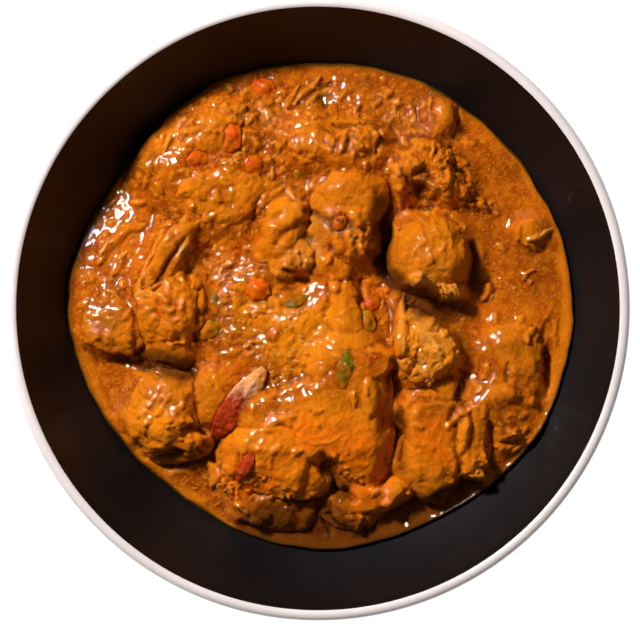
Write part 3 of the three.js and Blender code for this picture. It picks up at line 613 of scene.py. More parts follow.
# Creases are sharp grooves between folds and pieces
CREASES = [
    (1.6, 0.6, (-54.3, 56), (-54.2, 48), (-54.8, 40), (-54.6, 33), (-55, 26)),
    (0.9, 1.3, (-5, 35), (-2, 38.5), (1, 42), (4, 45)),
    (1.5, 1.0, (-12, 31), (-14.5, 29.5), (-16, 28.5)),
    (0.9, 1.2, (-19, 43.5), (-16.5, 44.5)),
    (1.6, 1.4, (2.5, 66.5), (1, 70.5), (4.5, 75)),
    (0.8, 1.2, (5, 60.5), (9, 59.5), (14, 60.5)),
    (0.9, 1.4, (18.8, 51), (20, 55), (19.6, 59)),
    (1.6, 1.5, (-4, 32), (0, 30.5), (3.5, 28.5), (5, 26)),
    (1.3, 0.8, (6, 33.5), (10, 33), (15, 33)),
    (1.2, 0.8, (10, 29), (11.5, 25.5), (13, 22)),
    (1.1, 0.7, (7, 24), (9, 21), (8.5, 18)),
    (1.1, 0.7, (14, 26), (17, 22), (16, 18)),
    (1.0, 0.6, (4, 20.5), (6.5, 17.5), (9.5, 16.5)),
    (1.3, 1.1, (-14, 21), (-11, 24), (-6, 27.5), (-2, 28)),
    (1.1, 0.8, (4.5, 25.5), (4, 20), (5, 15.5)),
    (1.4, 2.4, (-11, 12.5), (-7, 10), (-3, 9)),
    (0.9, 1.0, (27, 26), (25.5, 20), (26, 14)),
    (0.8, 0.9, (42, 31), (46, 27)),
    (1.8, 2.4, (31, 43.5), (35, 45), (38, 42)),
    (1.6, 2.2, (44.5, 47), (46, 43), (49, 41)),
    (1.2, 1.8, (30.5, 33.5), (34, 33), (38, 33.5)),
    (1.0, 1.4, (43, 53), (45.5, 51)),
    (1.5, 2.0, (32, 40), (36, 39)),
    (1.0, 1.7, (46.3, 67), (45.8, 60.5)),
    (1.3, 2.2, (76, -29), (75.3, -20), (74.8, -13)),
    (0.9, 1.0, (62.5, -18), (61.5, -24)),
    (1.4, 2.2, (56.5, -37), (57, -42), (56.5, -48), (58.5, -53)),
    (1.0, 1.4, (60, -44), (65, -44.5), (69, -43)),
    (1.2, 1.8, (45.3, -38), (45.2, -45), (47, -50.5), (46, -54)),
    (1.0, 1.4, (44, -38.5), (48, -35.5)),
    (1.6, 2.0, (43, -36), (46.5, -30), (47.5, -23)),
    (2.0, 2.2, (24, -17), (25, -25), (25.8, -33), (26.4, -42), (26, -50)),
    (2.2, 2.8, (1, -48), (3.5, -52), (6.5, -56), (9.5, -60), (12, -63)),
    (0.9, 1.2, (-25.5, -47), (-26.5, -54), (-24.5, -60)),
    (1.2, 1.8, (3.5, -64), (2.5, -70), (4, -75)),
    (1.2, 2.0, (-45, -40), (-41, -39), (-37, -41)),
    (1.4, 2.0, (-57, -49.5), (-50, -50), (-44, -47)),
    (1.0, 1.4, (-40, -46), (-37, -49), (-34, -51)),
    (1.2, 1.6, (-38, -44), (-35.3, -47), (-34.5, -51)),
    (0.9, 1.4, (14.2, 10), (13.8, 4), (14.5, -1)),
    (0.9, 1.4, (3, 8), (3.5, 2), (2, -3)),
    (1.0, 1.2, (22.5, 3), (24, -2), (23.5, -9)),
    (0.9, 1.0, (-43.3, 15.5), (-42.8, 11), (-41.8, 7)),
    (1.2, 0.5, (-51.6, -2), (-51.6, -6), (-51, -10)),
    (0.9, 0.5, (-43, 3), (-42.6, -4), (-42, -12)),
    (0.8, 1.0, (-39, 7), (-39, 0), (-39.5, -5)),
    (1.0, 1.6, (-40.3, -7.5), (-40.3, -11)),
    (1.0, 0.9, (-59.5, 2), (-60, -6), (-60, -15)),
    (0.9, 0.8, (-57, -17), (-50, -18.5), (-43, -20.5)),
    (0.9, 0.7, (-54, -20.5), (-48, -22.5), (-42, -23.5)),
    (0.7, 0.5, (-57.8, 6), (-56, 12.5), (-52.5, 19.5)),
    (1.5, 2.2, (-53.6, 6), (-50.5, 12), (-47, 18), (-43.5, 23)),
    (1.0, 1.6, (-58.5, 3.6), (-54.5, 3.8)),
]
# Ledges drop on the right hand of their line: over what width, how far down, and the points
LEDGES = [
    (1.4, 2.2, (-79, -11), (-74, -12), (-70, -15.8), (-66, -14.6), (-61, -15.6), (-58, -13.5)),
    (1.2, 1.8, (73.5, -28), (74.2, -20), (73.8, -12.5), (71, -11)),
    (2.6, 1.5, (-26, -47.6), (-18, -48), (-12, -47.2), (-6, -48), (1, -49.5)),
    (3.2, 1.8, (-3, -44.5), (4, -46.5), (12, -47.6), (18, -46.5), (23, -45)),
    (1.2, 1.8, (-62.5, -39), (-61, -43.5), (-56, -46), (-51, -46), (-47.5, -43)),
    (1.2, 1.6, (-61.5, -46.5), (-56, -48.5), (-50.5, -48), (-46, -44.5)),
    (1.2, 1.6, (28, -58), (31, -60), (35, -63.5), (40, -59), (44, -57.5), (49, -55.5)),
]
WANDER = 0.55  # laid lines wander by this much, as cooked food has no straight edge
WANDER_LENGTH = 3.4  # between two bends of a laid line
END_WIDTH = 0.35  # how wide a laid line is at its ends, as a share of its middle
ROLL_ROUND = 1.2  # more than 1 makes a roll's shoulders less full
CREASE_SHARP = 0.8  # more makes a groove narrower
LEDGE_ENDS = 0.12  # the share of a ledge's length over which each end of it comes up
LEDGE_REACH = 9.0  # over how many half widths the ground below a ledge comes up again
LEDGE_FADE = 1.3  # and how quickly
LEDGE_BROW = 0.25  # how high a ledge's brow stands, as a share of its drop
ROLL_FAR, CREASE_FAR, LEDGE_FAR = 1, 4, 14  # how far each form is worked out, in half widths
PATCH_FAR = 2.4


def nearest_on(path, x, y):
    """For a grid of places: how far a line of points is, how far along it the nearest place lies,
    from 0 to 1, and the distance to its right."""
    nearest = np.full(x.shape, np.inf)
    along = np.full(x.shape, 0.5)
    right = np.zeros(x.shape)
    starts = path if len(path) == 1 else path[:-1]
    ends = path if len(path) == 1 else path[1:]
    for number, (start, end) in enumerate(zip(starts, ends)):
        run = end - start
        length = max(float(run @ run), 1e-9)
        share = np.clip(((x - start[0]) * run[0] + (y - start[1]) * run[1]) / length, 0, 1)
        off_x = x - start[0] - share * run[0]
        off_y = y - start[1] - share * run[1]
        away = np.hypot(off_x, off_y)
        closer = away < nearest
        nearest = np.where(closer, away, nearest)
        right = np.where(closer, (off_x * run[1] - off_y * run[0]) / math.sqrt(length), right)
        if len(path) > 1:
            along = np.where(closer, (number + share) / len(starts), along)
    return nearest, along, right


def fine_places():
    """The fine map's places in its plane, as points."""
    x, y = np.meshgrid(FINE_LINE, FINE_LINE)
    return np.stack([x.ravel(), y.ravel(), np.zeros(x.size)], axis=1)


FINE_PLACES = fine_places()


def fine_map(values):
    """Values of the fine places, row by row."""
    return values.reshape(FINE_SIDE, FINE_SIDE)


BENT_X, BENT_Y = [
    fine_map(FINE_PLACES[:, axis] + WANDER * lumps(FINE_PLACES, WANDER_LENGTH, 61 + axis))
    for axis in (0, 1)
]


def laid(lines, profile, reach):
    """A map of laid lines. profile turns the distance, the place along the line and the distance
    to its right, all in half widths, into a share of the height."""
    total = np.zeros((FINE_SIDE, FINE_SIDE))
    for half, height, *points in lines:
        path = np.array(points, dtype=float)
        low = np.searchsorted(FINE_LINE, path.min(axis=0) - reach * half - 1)
        high = np.searchsorted(FINE_LINE, path.max(axis=0) + reach * half + 1)
        window = (slice(low[1], high[1]), slice(low[0], high[0]))
        nearest, along, right = nearest_on(path, BENT_X[window], BENT_Y[window])
        total[window] += height * profile(nearest / half, along, right / half)
    return total


def tapered(along):
    """A laid line's width along it: full in its middle, and narrow at both ends."""
    return END_WIDTH + (1 - END_WIDTH) * np.sqrt(np.clip(np.sin(math.pi * along), 0, 1))


def roll_shape(away, along, right):
    return np.clip(1 - (away / tapered(along)) ** 2, 0, 1) ** ROLL_ROUND


def crease_shape(away, along, right):
    return -np.exp(-CREASE_SHARP * (away / tapered(along)) ** 2)


def ledge_shape(away, along, right):
    """A drop to the right of the line, with a small brow along its top."""
    ends = smooth_step(0, LEDGE_ENDS, along) * smooth_step(0, LEDGE_ENDS, 1 - along)
    drop = smooth_step(-0.7, 2.2, right) * np.exp(-np.clip(away, 0, None) / LEDGE_REACH * LEDGE_FADE)
    brow = LEDGE_BROW * np.exp(-((right + 0.8) ** 2)) * (away < 3)
    return ends * (brow - drop)


def patch_shape(away, along, right):
    return np.exp(-(away**2))


def patches(lines, reach=PATCH_FAR):
    """A map of soft patches round points and along lines."""
    return laid(lines, patch_shape, reach)


# ---------------------------------------------------------------- laid tones

# What the sauce does in each place, and where light and shade are painted into it: reach, how much, and the
# points
TONES = {
    # painted light on the lit tops of high chunks, where thick sauce also lies smooth
    "smooth_sauce_and_light": [
        (6, 0.6, (-4, 57)),
        (7, 0.2, (9, 41), (5, 36)),
        (6, 0.7, (-13, 36), (-10, 30)),
        (10, 0.5, (38, 20)),
        (6.5, 1.2, (-57, -34), (-53, -38)),
        (7, 1.1, (-20, -42), (-8, -40)),
        (8, 0.9, (2, -34), (13, -38)),
        (8, 0.3, (14, -52)),
        (10, 0.5, (-18, -52), (-8, -52)),
        (8, 0.4, (36, -46)),
        (12, 0.7, (-20, 2)),
        (7, 0.9, (33, -8), (40, -12)),
        (6, 0.5, (16, -26)),
        (4.5, 0.7, (48, -38), (46, -45)),
        (5, 0.5, (56, -27)),
        (7, 0.5, (3, -6)),
        (4, 0.6, (23, -63)),
        (5, 0.5, (-47, 58)),
        (4, 0.5, (-36, -55)),
        (5, 0.4, (-66, 22)),
        (4, 0.5, (36, 53)),
        (6, 0.6, (68, -3)),
        (5, 0.7, (36, -9), (39, -14)),
        (10, 0.9, (-8, -12), (6, -4)),
    ],
    # thick sauce with much tomato in it
    "vivid": [
        (12, 1.2, (-20, -54), (-6, -54)),
        (10, 0.8, (-8, -42)),
        (11, 1.0, (10, -46), (16, -56)),
        (11, 1.0, (34, -46)),
        (8, 0.6, (-28, -20)),
        (7, 0.6, (20, 6), (6, 6)),
    ],
    # torn meat that the sauce has left pale
    "pale": [
        (1.2, 0.8, (27.6, 2), (27.2, -3), (27.2, -9), (27.8, -13.5)),
        (1.3, 0.6, (31, -2), (36, -4.5), (42, -9.5), (45.5, -14)),
        (3.4, 0.7, (34, -8), (39, -13)),
        (3.4, 0.6, (28, -18), (35, -20.5), (40, -20)),
        (1.2, 0.6, (37, -23.5), (36, -25.5)),
        (0.7, 0.6, (-58.8, 5.5), (-57.5, 12), (-54, 19), (-51, 26)),
        (1.2, 0.9, (-59, 4.5), (-55, 4.6)),
        (1.2, 0.9, (-48.3, 57), (-50.3, 51.5)),
        (1.2, 0.6, (-15, 46.4), (-14.5, 43)),
        (1.6, 0.5, (26, 47), (26, 43)),
        (2.2, 0.9, (31.4, 10.8), (35.4, 9.4)),
        (1.0, 1.0, (69, 22.8), (73, 24), (77, 26.2)),
        (2.8, 1.0, (39, 7), (46.4, 5.2)),
        (0.6, 0.5, (-7, -40.5), (-4.5, -43), (-1, -44.2), (3.5, -43.6), (6, -42.2), (8, -40.6)),
        (1.2, 0.6, (-3.5, 68), (4, 73)),
        (1.5, 0.6, (52, -51), (54, -55)),
        (1.4, 0.7, (63, -40.5), (66, -41)),
        (1.3, 0.6, (18, -61), (20, -59.5)),
        (1.3, 0.6, (-21.5, -62), (1.5, -62)),
    ],
    # bare, grey-brown cooked meat
    "bare": [
        (6.5, 1.0, (-5, 17), (-3, 22)),
        (5, 0.6, (14, 22), (10, 26)),
        (4, 0.5, (40, 14), (46, 12)),
        (5, 0.3, (16, -53)),
        (4, 0.4, (60, -45)),
    ],
    # stained by tomato and chilli
    "red": [
        (4, 0.6, (7.5, 30)),
        (3, 0.9, (18, -16)),
        (4, 0.5, (10, 7)),
        (5, 0.5, (-15, -9)),
        (3, 0.7, (-24, -54)),
        (6, 0.4, (-38, 53)),
        (4, 0.4, (41, 66)),
        (5, 0.4, (8, -8)),
        (4, 0.4, (46, 33)),
        (8, 0.8, (-50, 0), (-46, -10)),
        (10, 0.5, (-36, 50)),
        (6, 0.3, (-22, 12)),
        (4, 0.5, (-22, 47)),
    ],
    # painted shade in the clefts between pieces and on their lower faces, and thin dark juice low down at the
    # edge with the black bowl under it
    "dark": [
        (10, 1.2, (-16, -70), (0, -71)),
        (2.6, 1.1, (3, -52.5), (6, -57), (8, -61)),
        (6, 0.2, (13, -54), (20, -53)),
        (4, 1.1, (-24, -76), (2, -80), (20, -78), (36, -71), (50, -62)),
        (5, 0.6, (-4, -77), (10, -78)),
        (6, 0.9, (2, -77), (22, -75), (40, -67)),
        (6, 1.0, (28, -70), (38, -66), (50, -60)),
        (4, 0.6, (60, -54), (70, -47)),
        (5, 0.8, (-50, -50), (-40, -49)),
        (4.5, 1.4, (-54, -16.5), (-44, -20)),
        (3, 0.6, (22, 10), (22, 24)),
        (2.0, 0.4, (-60, -4), (-60, -12)),
        (5, 0.9, (33, 1), (46, -1)),
        (3.5, 0.9, (25, 10), (28, 7), (33, 4)),
        (3, 0.8, (51, 20), (52, 8)),
        (4, 1.0, (19, 18), (21, 34)),
        (4, 0.8, (34, 42)),
        (3, 0.8, (47, 44)),
        (4, 0.7, (-68, -16), (-60, -17)),
        (4, 0.4, (66, -36), (60, -40)),
        (3, 0.7, (27, -35), (27, -52)),
        (3, 0.7, (46, -28), (48, -22)),
        (3, 0.6, (-34, -44)),
        (3, 0.5, (-47.5, 17), (-52, 10)),
    ],
    # green-brown from herbs and oil
    "olive": [
        (2.5, 0.3, (-54.4, 52), (-54.6, 30)),
        (3.5, 0.8, (2, 70)),
        (4, 0.6, (16, 76)),
        (3, 0.7, (0, 30), (3, 28)),
        (3.5, 0.7, (-44, 19)),
        (3, 0.6, (-33, 3)),
        (4, 0.6, (65, -13)),
        (2, 0.7, (62, -21)),
        (4, 0.5, (-3, 44)),
        (5, 0.3, (-15, 54)),
        (4, 0.4, (-28, 37)),
        (4, 0.4, (58, -12)),
        (3, 0.4, (12, 24)),
        (8, 0.6, (-70, -5)),
        (6, 0.4, (-58, 48)),
    ],
    # thin, oily and shining
    "wet": [
        (12, 0.8, (-72, 26), (-74, 4)),
        (9, 0.9, (-61, 44), (-62, 30)),
        (14, 0.8, (-34, 12), (-22, -6)),
        (10, 0.6, (-36, 34)),
        (9, 0.6, (-38, 62), (-30, 70)),
        (12, 1.1, (-14, 68), (24, 70)),
        (8, 0.8, (-10, -4), (-14, -22)),
        (9, 1.2, (-56, -32)),
        (8, 0.6, (-36, 50), (-42, 62)),
        (10, 1.0, (-18, -38), (-10, -34)),
        (6, 0.8, (-13, 35)),
        (6, 0.6, (30, 24)),
        (6, 0.7, (-46, -32)),
        (8, 0.6, (4, 54)),
        (5, 0.6, (41, 66)),
        (6, 0.7, (53, -27), (50, -32)),
        (5, 0.6, (4, 8)),
        (6, 0.5, (0, -30)),
        (6, 0.7, (27, 38)),
        (5, 0.6, (42, 37)),
        (6, 0.6, (-36, -24)),
        (5, 0.6, (14, -68)),
        (9, 0.7, (-18, -70), (6, -71)),
        (5, 0.5, (-30, -58)),
        (4, 0.7, (22, -63)),
        (5, 0.5, (-24, -66)),
        (6, 0.6, (-27, -30)),
        (3, 0.6, (58, -3)),
        (4, 0.5, (68, 26)),
        (3, 1.0, (77, -26), (73, -46), (52, -62), (38, -71), (22, -77), (0, -80)),
    ],
}
TONE_TOP = 1.2  # the most that patches add up to where they lie over each other
TONE_MAPS = {name: np.clip(patches(lines), 0, TONE_TOP) for name, lines in TONES.items()}

# ---------------------------------------------------------------- the sauce's level

# The sauce clings to what stands in it and climbs in a hollow curve at its foot. In the dark clefts
# it stays low and leaves a steep side, and where it is heaped up it buries pieces to the shoulder
STEEP_SLOPE, STEEP_REACH = 3.0, 5
GENTLE_SLOPE, GENTLE_REACH = 1.15, 9
HEAP_SLOPE, HEAP_REACH = 0.42, 15
CLIMB = 4.0  # how wide the hollow curve at the foot of a piece is
UNDER_TOP = 0.5  # how far below the top of what it clings to the sauce ends
HEAPS = [
    (15, 1.0, (-34, 36), (-46, 48), (-32, 57)),
    (11, 0.9, (-4, 56), (14, 53)),
    (9, 0.7, (37, 47), (44, 40)),
    (9, 0.8, (60, -14), (66, -20)),
    (9, 0.7, (64, -38), (56, -30)),
    (8, 0.6, (36, -34), (38, -50)),
    (9, 0.9, (-33, -28)),
    (7, 0.8, (40, 64)),
    (7, 0.8, (70, 25)),
    (8, 0.8, (-69, -4), (-73, -8)),
    (9, 0.6, (2, 2)),
    (6, 0.9, (-1, -32), (-1, -42)),
    (6, 0.9, (35, -41)),
    (5, 0.8, (45, -40), (45, -52)),
    (7, 0.7, (66, -34), (70, -40)),
    (7, 0.8, (-22, -33), (-12, -30)),
]
# Seams that thick sauce has closed, lying over the meat: reach, how much, and the points
MERGED_OVER = 0.65
MERGED = [
    (8, 1.0, (12, -34), (13, -46)),
    (6, 1.0, (-1, -32), (-1, -44)),
    (6, 1.0, (34, -11), (37, -13)),
    (6, 0.9, (36, -41)),
    (5, 0.9, (45, -40), (45.5, -50)),
    (6, 0.9, (-18, -34), (-6, -30)),
    (7, 0.9, (40, 44), (34, 48)),
    (7, 0.8, (62, -33), (66, -44)),
    (5, 1.0, (4, -19), (20, -17)),
    (5, 0.9, (35, -35), (43, -35)),
    (5, 0.8, (10, -64), (18, -63)),
    (5, 0.8, (-30, -58), (-26, -66)),
    (6, 0.8, (-4, 57), (8, 53)),
]
SEAM_SLOPE, SEAM_REACH = 0.12, 7.0  # how much a closed seam may sag, and how wide it may be
SEAM_DEPTH = 3.0  # how far below the flat gravy the ground of a seam may lie
TOPPING_SLOPE, TOPPING_REACH = 1.2, 5
TOPPING_SHOWS = 0.9  # how far a topping stands out of the sauce at its side


def coarse_map(fine):
    """A fine map's values at the places of the coarse maps."""
    x, y = np.meshgrid(COARSE_LINE, COARSE_LINE)
    return looked_up(fine, np.stack([x.ravel(), y.ravel()], axis=1)).reshape(x.shape)


def level_of_gravy():
    """How high the sauce stands in each place, with what it climbs, buries and closes."""
    merged = smooth_step(0.15, 0.6, coarse_map(patches(MERGED)))
    # the clefts are the places of the painted shade, where the sauce stays low
    cleft = smooth_step(0.25, 0.7, coarse_map(TONE_MAPS["dark"]))
    heap = smooth_step(0.2, 0.8, coarse_map(patches(HEAPS))) * (1 - cleft)
    ground = np.maximum(meat_seen, gravy_flat - SEAM_DEPTH)
    closed_meat = blurred(closed_up(ground, SEAM_SLOPE, SEAM_REACH), 1.8)
    standing = np.where(stands_in, meat_seen, NO_PIECE)
    gentle = skirted(standing, GENTLE_SLOPE, GENTLE_REACH) - UNDER_TOP
    steep = skirted(standing, STEEP_SLOPE, STEEP_REACH) - 2 * UNDER_TOP
    climbing = smooth_highest(gravy_flat, gentle, CLIMB)
    staying = smooth_highest(gravy_flat, steep, 1.0)
    burying = skirted(standing, HEAP_SLOPE, HEAP_REACH)
    heaped = blurred(smooth_highest(gravy_flat, burying, CLIMB), 2.0)
    level = climbing * (1 - cleft) + staying * cleft
    level = level * (1 - heap) + np.maximum(level, heaped) * heap
    level += merged * np.clip(closed_meat + MERGED_OVER - level, 0, None)
    at_toppings = skirted(topping_seen, TOPPING_SLOPE, TOPPING_REACH) - TOPPING_SHOWS
    return smooth_highest(level, at_toppings, 1.2)


gravy_level = level_of_gravy()
food_top = np.maximum(np.maximum(gravy_level, meat_seen), topping_seen)

# ---------------------------------------------------------------- relief over all the food

# How rough with shreds and pulp the food is: reach, by how much, and the points
ROUGH_PATCHES = [
    (20, 0.75, (-30, 4)),
    (16, 0.5, (-14, -6)),
    (20, 0.8, (-32, 44), (-30, 60)),
    (14, 0.7, (-20, 66), (14, 62)),
    (10, 0.6, (24, 66)),
    (10, 0.7, (42, 40), (28, 44)),
    (8, 0.5, (0, -18)),
    (9, 0.5, (-8, -26)),
    (8, 0.4, (20, 4)),
    (9, 0.5, (-30, -58)),
    (7, 0.5, (34, -20)),
    (8, 0.3, (52, -50)),
    (9, 0.3, (-38, -24)),
    (8, 0.3, (-56, -32)),
    (10, 0.2, (-16, -42)),
    (10, 0.1, (12, -45)),
    (8, 0.15, (36, -50)),
    (8, 0.4, (2, 34)),
]
# Where thin sauce lies calm: reach, how much, and the points
CALM_PATCHES = [
    (12, 0.4, (-70, 30), (-74, 4)),
    (8, 0.3, (-60, 42), (-61, 32)),
    (14, 0.5, (62, 18), (66, -2), (56, 42)),
    (6, 0.6, (-68, -28), (-68, -36)),
    (10, 0.6, (20, -2), (50, -6)),
    (9, 0.55, (-8, 70), (4, 70)),
    (7, 0.55, (24, 68)),
]
# Crumbly masses of fine shreds: reach, how many, half width, height, and the points
CRUMBLY = [
    (2.6, 46, 0.9, 1.1, (38.5, 6.5), (46.5, 4.8)),
    (2.0, 22, 0.9, 0.9, (31, 9.5), (35.5, 10.5)),
    (3.0, 46, 1.1, 0.5, (26, -17), (34, -20.5), (42, -20)),
    (4.5, 22, 1.5, 0.35, (33, -12), (38, -15)),
    (2.4, 20, 0.9, 0.9, (36, -24.5)),
    (3.0, 30, 1.0, 0.7, (50, -50), (53, -54)),
    (3.5, 40, 1.0, 0.7, (62, -41), (69, -41)),
    (2.6, 30, 0.9, 0.8, (-24, -60), (-8, -61.5)),
    (3.0, 30, 1.0, 0.8, (-31, -55), (-27, -63)),
    (3.0, 40, 0.9, 0.6, (-12, 13), (-2, 18)),
    (4.0, 50, 1.0, 0.7, (32, 52), (42, 50), (46, 42)),
    (3.0, 30, 1.0, 0.7, (48, 37), (56, 33)),
    (4.0, 40, 1.1, 0.7, (8, 56), (16, 54)),
    (3.0, 26, 0.9, 0.7, (3.5, -47), (14, -60)),
    (3.5, 40, 1.0, 0.6, (-46, -36), (-42, -42)),
    (5.0, 110, 1.2, 0.5, (-54, 4), (-47, 6), (-50, -6), (-45, -11)),
    (5.0, 60, 1.1, 0.35, (-74, -6), (-64, -9)),
    (6.0, 50, 1.2, 0.35, (36, 20)),
    (3.0, 30, 0.9, 0.6, (14, 26), (12, 20)),
]


def crumbly():
    """Small round lumps in crumbly masses."""
    draw = np.random.default_rng(21)
    lines = []
    for reach, count, half, height, *path in CRUMBLY:
        for x, y in near_line(draw, count, reach, path):
            lines.append((half * draw.uniform(0.6, 1.3), height * draw.uniform(0.4, 1.1), (x, y)))
    return lines


ROUGH_EVERYWHERE = 0.14  # how rough the smoothest food is
ROUGH_TOP = 1.1
CALM_TOP = 0.8
ROUGH_FAR = 2.2  # how far these patches are worked out, in half widths
CREST_SHARP = 1.3  # more makes crests sharper and hollows rounder
SHRED_LENGTH = 3.1
SHRED_HEIGHT = 0.8
CRUMB_LENGTH = 1.9
CRUMB_HEIGHT = 0.35
TOPPING_EDGE = 0.8  # over which distance the relief calms down at a topping
TOPPING_CALM = 0.6  # and by which share
BROAD = 3.2  # over which distance food counts as round a place, for the painted shade in its crevices
NARROW = 0.9  # the same, for its crests
CREST_FULL = 0.32  # how high above what is round it a crest takes its full painted light, and how deep a hollow takes its full painted shade

rough_map = np.clip(ROUGH_EVERYWHERE + patches(ROUGH_PATCHES, ROUGH_FAR), 0, ROUGH_TOP)
laid_relief = laid(ROLLS + crumbly(), roll_shape, ROLL_FAR)
laid_relief += laid(CREASES, crease_shape, CREASE_FAR)
laid_relief += laid(LEDGES, ledge_shape, LEDGE_FAR)


def standing_up(waves):
    """Sharper crests and rounder hollows, as where bits stand out of a thick sauce."""
    return (np.exp(CREST_SHARP * waves) - 1) / CREST_SHARP


def scattered_relief():
    """Shreds, pulp and grains all over the food, by how rough it is there. Gives the height, and
    how much of a shred lies at each place."""
    rough = rough_map.ravel()
    bent = FINE_PLACES + 1.5 * np.stack(
        [lumps(FINE_PLACES, 5, 41), lumps(FINE_PLACES, 5, 42), np.zeros(len(FINE_PLACES))], axis=1
    )
    long_ways = bent @ np.array([[0.8, 0.4, 0], [-0.6, 0.9, 0], [0, 0, 1]])
    shreds, own = pebbles(long_ways, SHRED_LENGTH, 43, fill=0.7)
    crumbs, crumbs_own = pebbles(bent, CRUMB_LENGTH, 47, fill=0.75)
    wet = np.clip(TONE_MAPS["wet"].ravel(), 0, 1)
    # Ripples of the oily film run across the light and draw its glints out into streaks
    streaky = bent @ np.array([[0.34, -0.71, 0], [0.34, 0.71, 0], [0, 0, 1]])
    swells = 0.6 * lumps(FINE_PLACES, 9, 44)
    folds = (0.35 + 0.2 * rough) * standing_up(lumps(bent, 4.6, 45))
    ripples = (0.04 + 0.3 * wet) * lumps(streaky, 2.4, 49)
    pulp = (0.2 - 0.1 * wet) * lumps(bent, 1.8, 50)
    clumps = (0.06 + 0.2 * rough) * standing_up(lumps(bent, 2.3, 48))
    grains = (0.015 + 0.08 * rough) * standing_up(lumps(FINE_PLACES, 1.4, 46))
    height = swells + folds + ripples + pulp + clumps + grains
    height += SHRED_HEIGHT * rough * shreds * (0.3 + own)
    height += CRUMB_HEIGHT * (0.2 + rough) * crumbs * (0.4 + crumbs_own)
    height *= 1 - np.clip(patches(CALM_PATCHES, ROUGH_FAR), 0, CALM_TOP).ravel()
    return fine_map(height), fine_map(rough * shreds * own)


random_relief, shred_map = scattered_relief()
topping_share = blurred((topping_seen > 0).astype(float), TOPPING_EDGE)
topping_near = smooth_step(0.05, 0.7, fine_map(looked_up(topping_share, FINE_PLACES)))
relief_map = (laid_relief + random_relief) * (1 - TOPPING_CALM * topping_near)
fine_top = fine_map(looked_up(food_top, FINE_PLACES)) + relief_map
broad_top = blurred(fine_top, BROAD)
narrow_top = blurred(fine_top, NARROW)


def crevice_shade_at(points):
    """0 on what stands free, to 1 deep between higher food: where painted shade goes."""
    return smooth_step(0.4, 4.5, looked_up(broad_top, points) - points[:, 2])


def crest_light_and_shade_at(points):
    """From -1 in small hollows to 1 on small crests: where painted shade and painted light go."""
    return np.clip((points[:, 2] - looked_up(narrow_top, points)) / CREST_FULL, -1, 1)


def store_tones(mesh, points, film):
    """Keeps on a mesh all that its sauce needs to know."""
    store(mesh, "film", film)
    store(mesh, "crevice_shade", crevice_shade_at(points))
    store(mesh, "crest_light_and_hollow_shade", crest_light_and_shade_at(points))
    store(mesh, "shred", looked_up(shred_map, points))
    for name, tones in TONE_MAPS.items():
        store(mesh, name, looked_up(tones, points))


# ---------------------------------------------------------------- the gravy

EDGE_TURN = 512  # directions in which the gravy's edge is measured
EDGE_FACET = math.tau / 48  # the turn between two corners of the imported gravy's edge
EDGE_LOOK = 0.75  # how far to each side a corner counts, in facets
EDGE_EVEN_STEPS = 16
EDGE_EVEN = 7.0  # over how many directions the edge is evened out
EDGE_LOOP = 40.0  # the radius of the loop on which the edge's noise is looked up
EDGE_CALM = 6.0  # how far from the edge the relief reaches its full height
EDGE_DEPTH = 0.5  # how thin the gravy gets over the wall
EDGE_ROUND = 1.6  # over which distance the gravy rounds off to the wall
EDGE_CROWD = 1.8  # by how many millimetres the rows of points crowd to the edge
EDGE_CROWD_REACH = 3.0
BEAD_INSIDE = 0.9  # how far from the edge its raised bead runs
BEAD_HALF = 0.45
BEAD_HEIGHT = 0.5
MENISCUS = 1.4  # how high the wet edge climbs the wall
MENISCUS_REACH = 1.5
MENISCUS_ROUND = 0.35
MENISCUS_WAY = math.radians(-40)  # the side away from the light
FILM_REACH = 1.8  # how far in from the edge the sauce is a thin film
UNDER_GRID = 24
UNDER_GAP = 0.05  # between the gravy's underside and the wall


def wall_height(distance):
    return INSIDE_CENTRE - np.sqrt(INSIDE_RADIUS**2 - distance**2)


def edge_outline():
    """Distance from the axis to the gravy's edge in each direction."""
    points = points_of(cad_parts["gravy"].data)
    angles = np.arctan2(points[:, 1], points[:, 0])
    reach = np.hypot(points[:, 0], points[:, 1])
    turns = np.linspace(-math.pi, math.pi, EDGE_TURN, endpoint=False)
    found = []
    for turn in turns:
        off = np.abs((angles - turn + math.pi) % math.tau - math.pi)
        found.append(reach[off < EDGE_FACET * EDGE_LOOK].max())
    found = np.array(found)
    line = np.exp(-((np.arange(-EDGE_EVEN_STEPS, EDGE_EVEN_STEPS + 1) / EDGE_EVEN) ** 2))
    line /= line.sum()
    looped = np.concatenate([found[-EDGE_EVEN_STEPS:], found, found[:EDGE_EVEN_STEPS]])
    return np.convolve(looped, line, "valid")


EDGE = edge_outline()


def round_the_edge(angles):
    """Places for noise that comes round to where it started."""
    return np.stack([np.cos(angles), np.sin(angles), np.zeros_like(angles)], axis=1) * EDGE_LOOP


def edge_at(angles):
    """Distance from the axis to the edge of the sauce, which wanders a little."""
    place = (angles + math.pi) / math.tau * EDGE_TURN
    low = np.floor(place).astype(int)
    part = place - low
    smooth = EDGE[low % EDGE_TURN] * (1 - part) + EDGE[(low + 1) % EDGE_TURN] * part
    wander = round_the_edge(angles)
    return smooth + 0.5 * lumps(wander, 7, 31) + 0.25 * lumps(wander, 3, 32)


def disc_grid(side):
    """Points of a unit disc from a square grid, evenly spread, row by row."""
    line = np.linspace(-1, 1, side + 1)
    u, v = np.meshgrid(line, line)
    u, v = u.ravel(), v.ravel()
    wide = np.abs(u) > np.abs(v)
    reach = np.where(wide, u, v)
    with np.errstate(divide="ignore", invalid="ignore"):
        turn = np.where(wide, math.pi / 4 * v / u, math.pi / 2 - math.pi / 4 * u / v)
    turn = np.nan_to_num(turn)
    return reach * np.cos(turn), reach * np.sin(turn)


def grid_faces(side, flip=False):
    """Four-sided faces between the points of disc_grid."""
    row = side + 1
    start = (np.arange(side)[:, None] * row + np.arange(side)[None, :]).ravel()
    quads = np.stack([start, start + 1, start + row + 1, start + row], axis=1)
    return quads[:, ::-1] if flip else quads


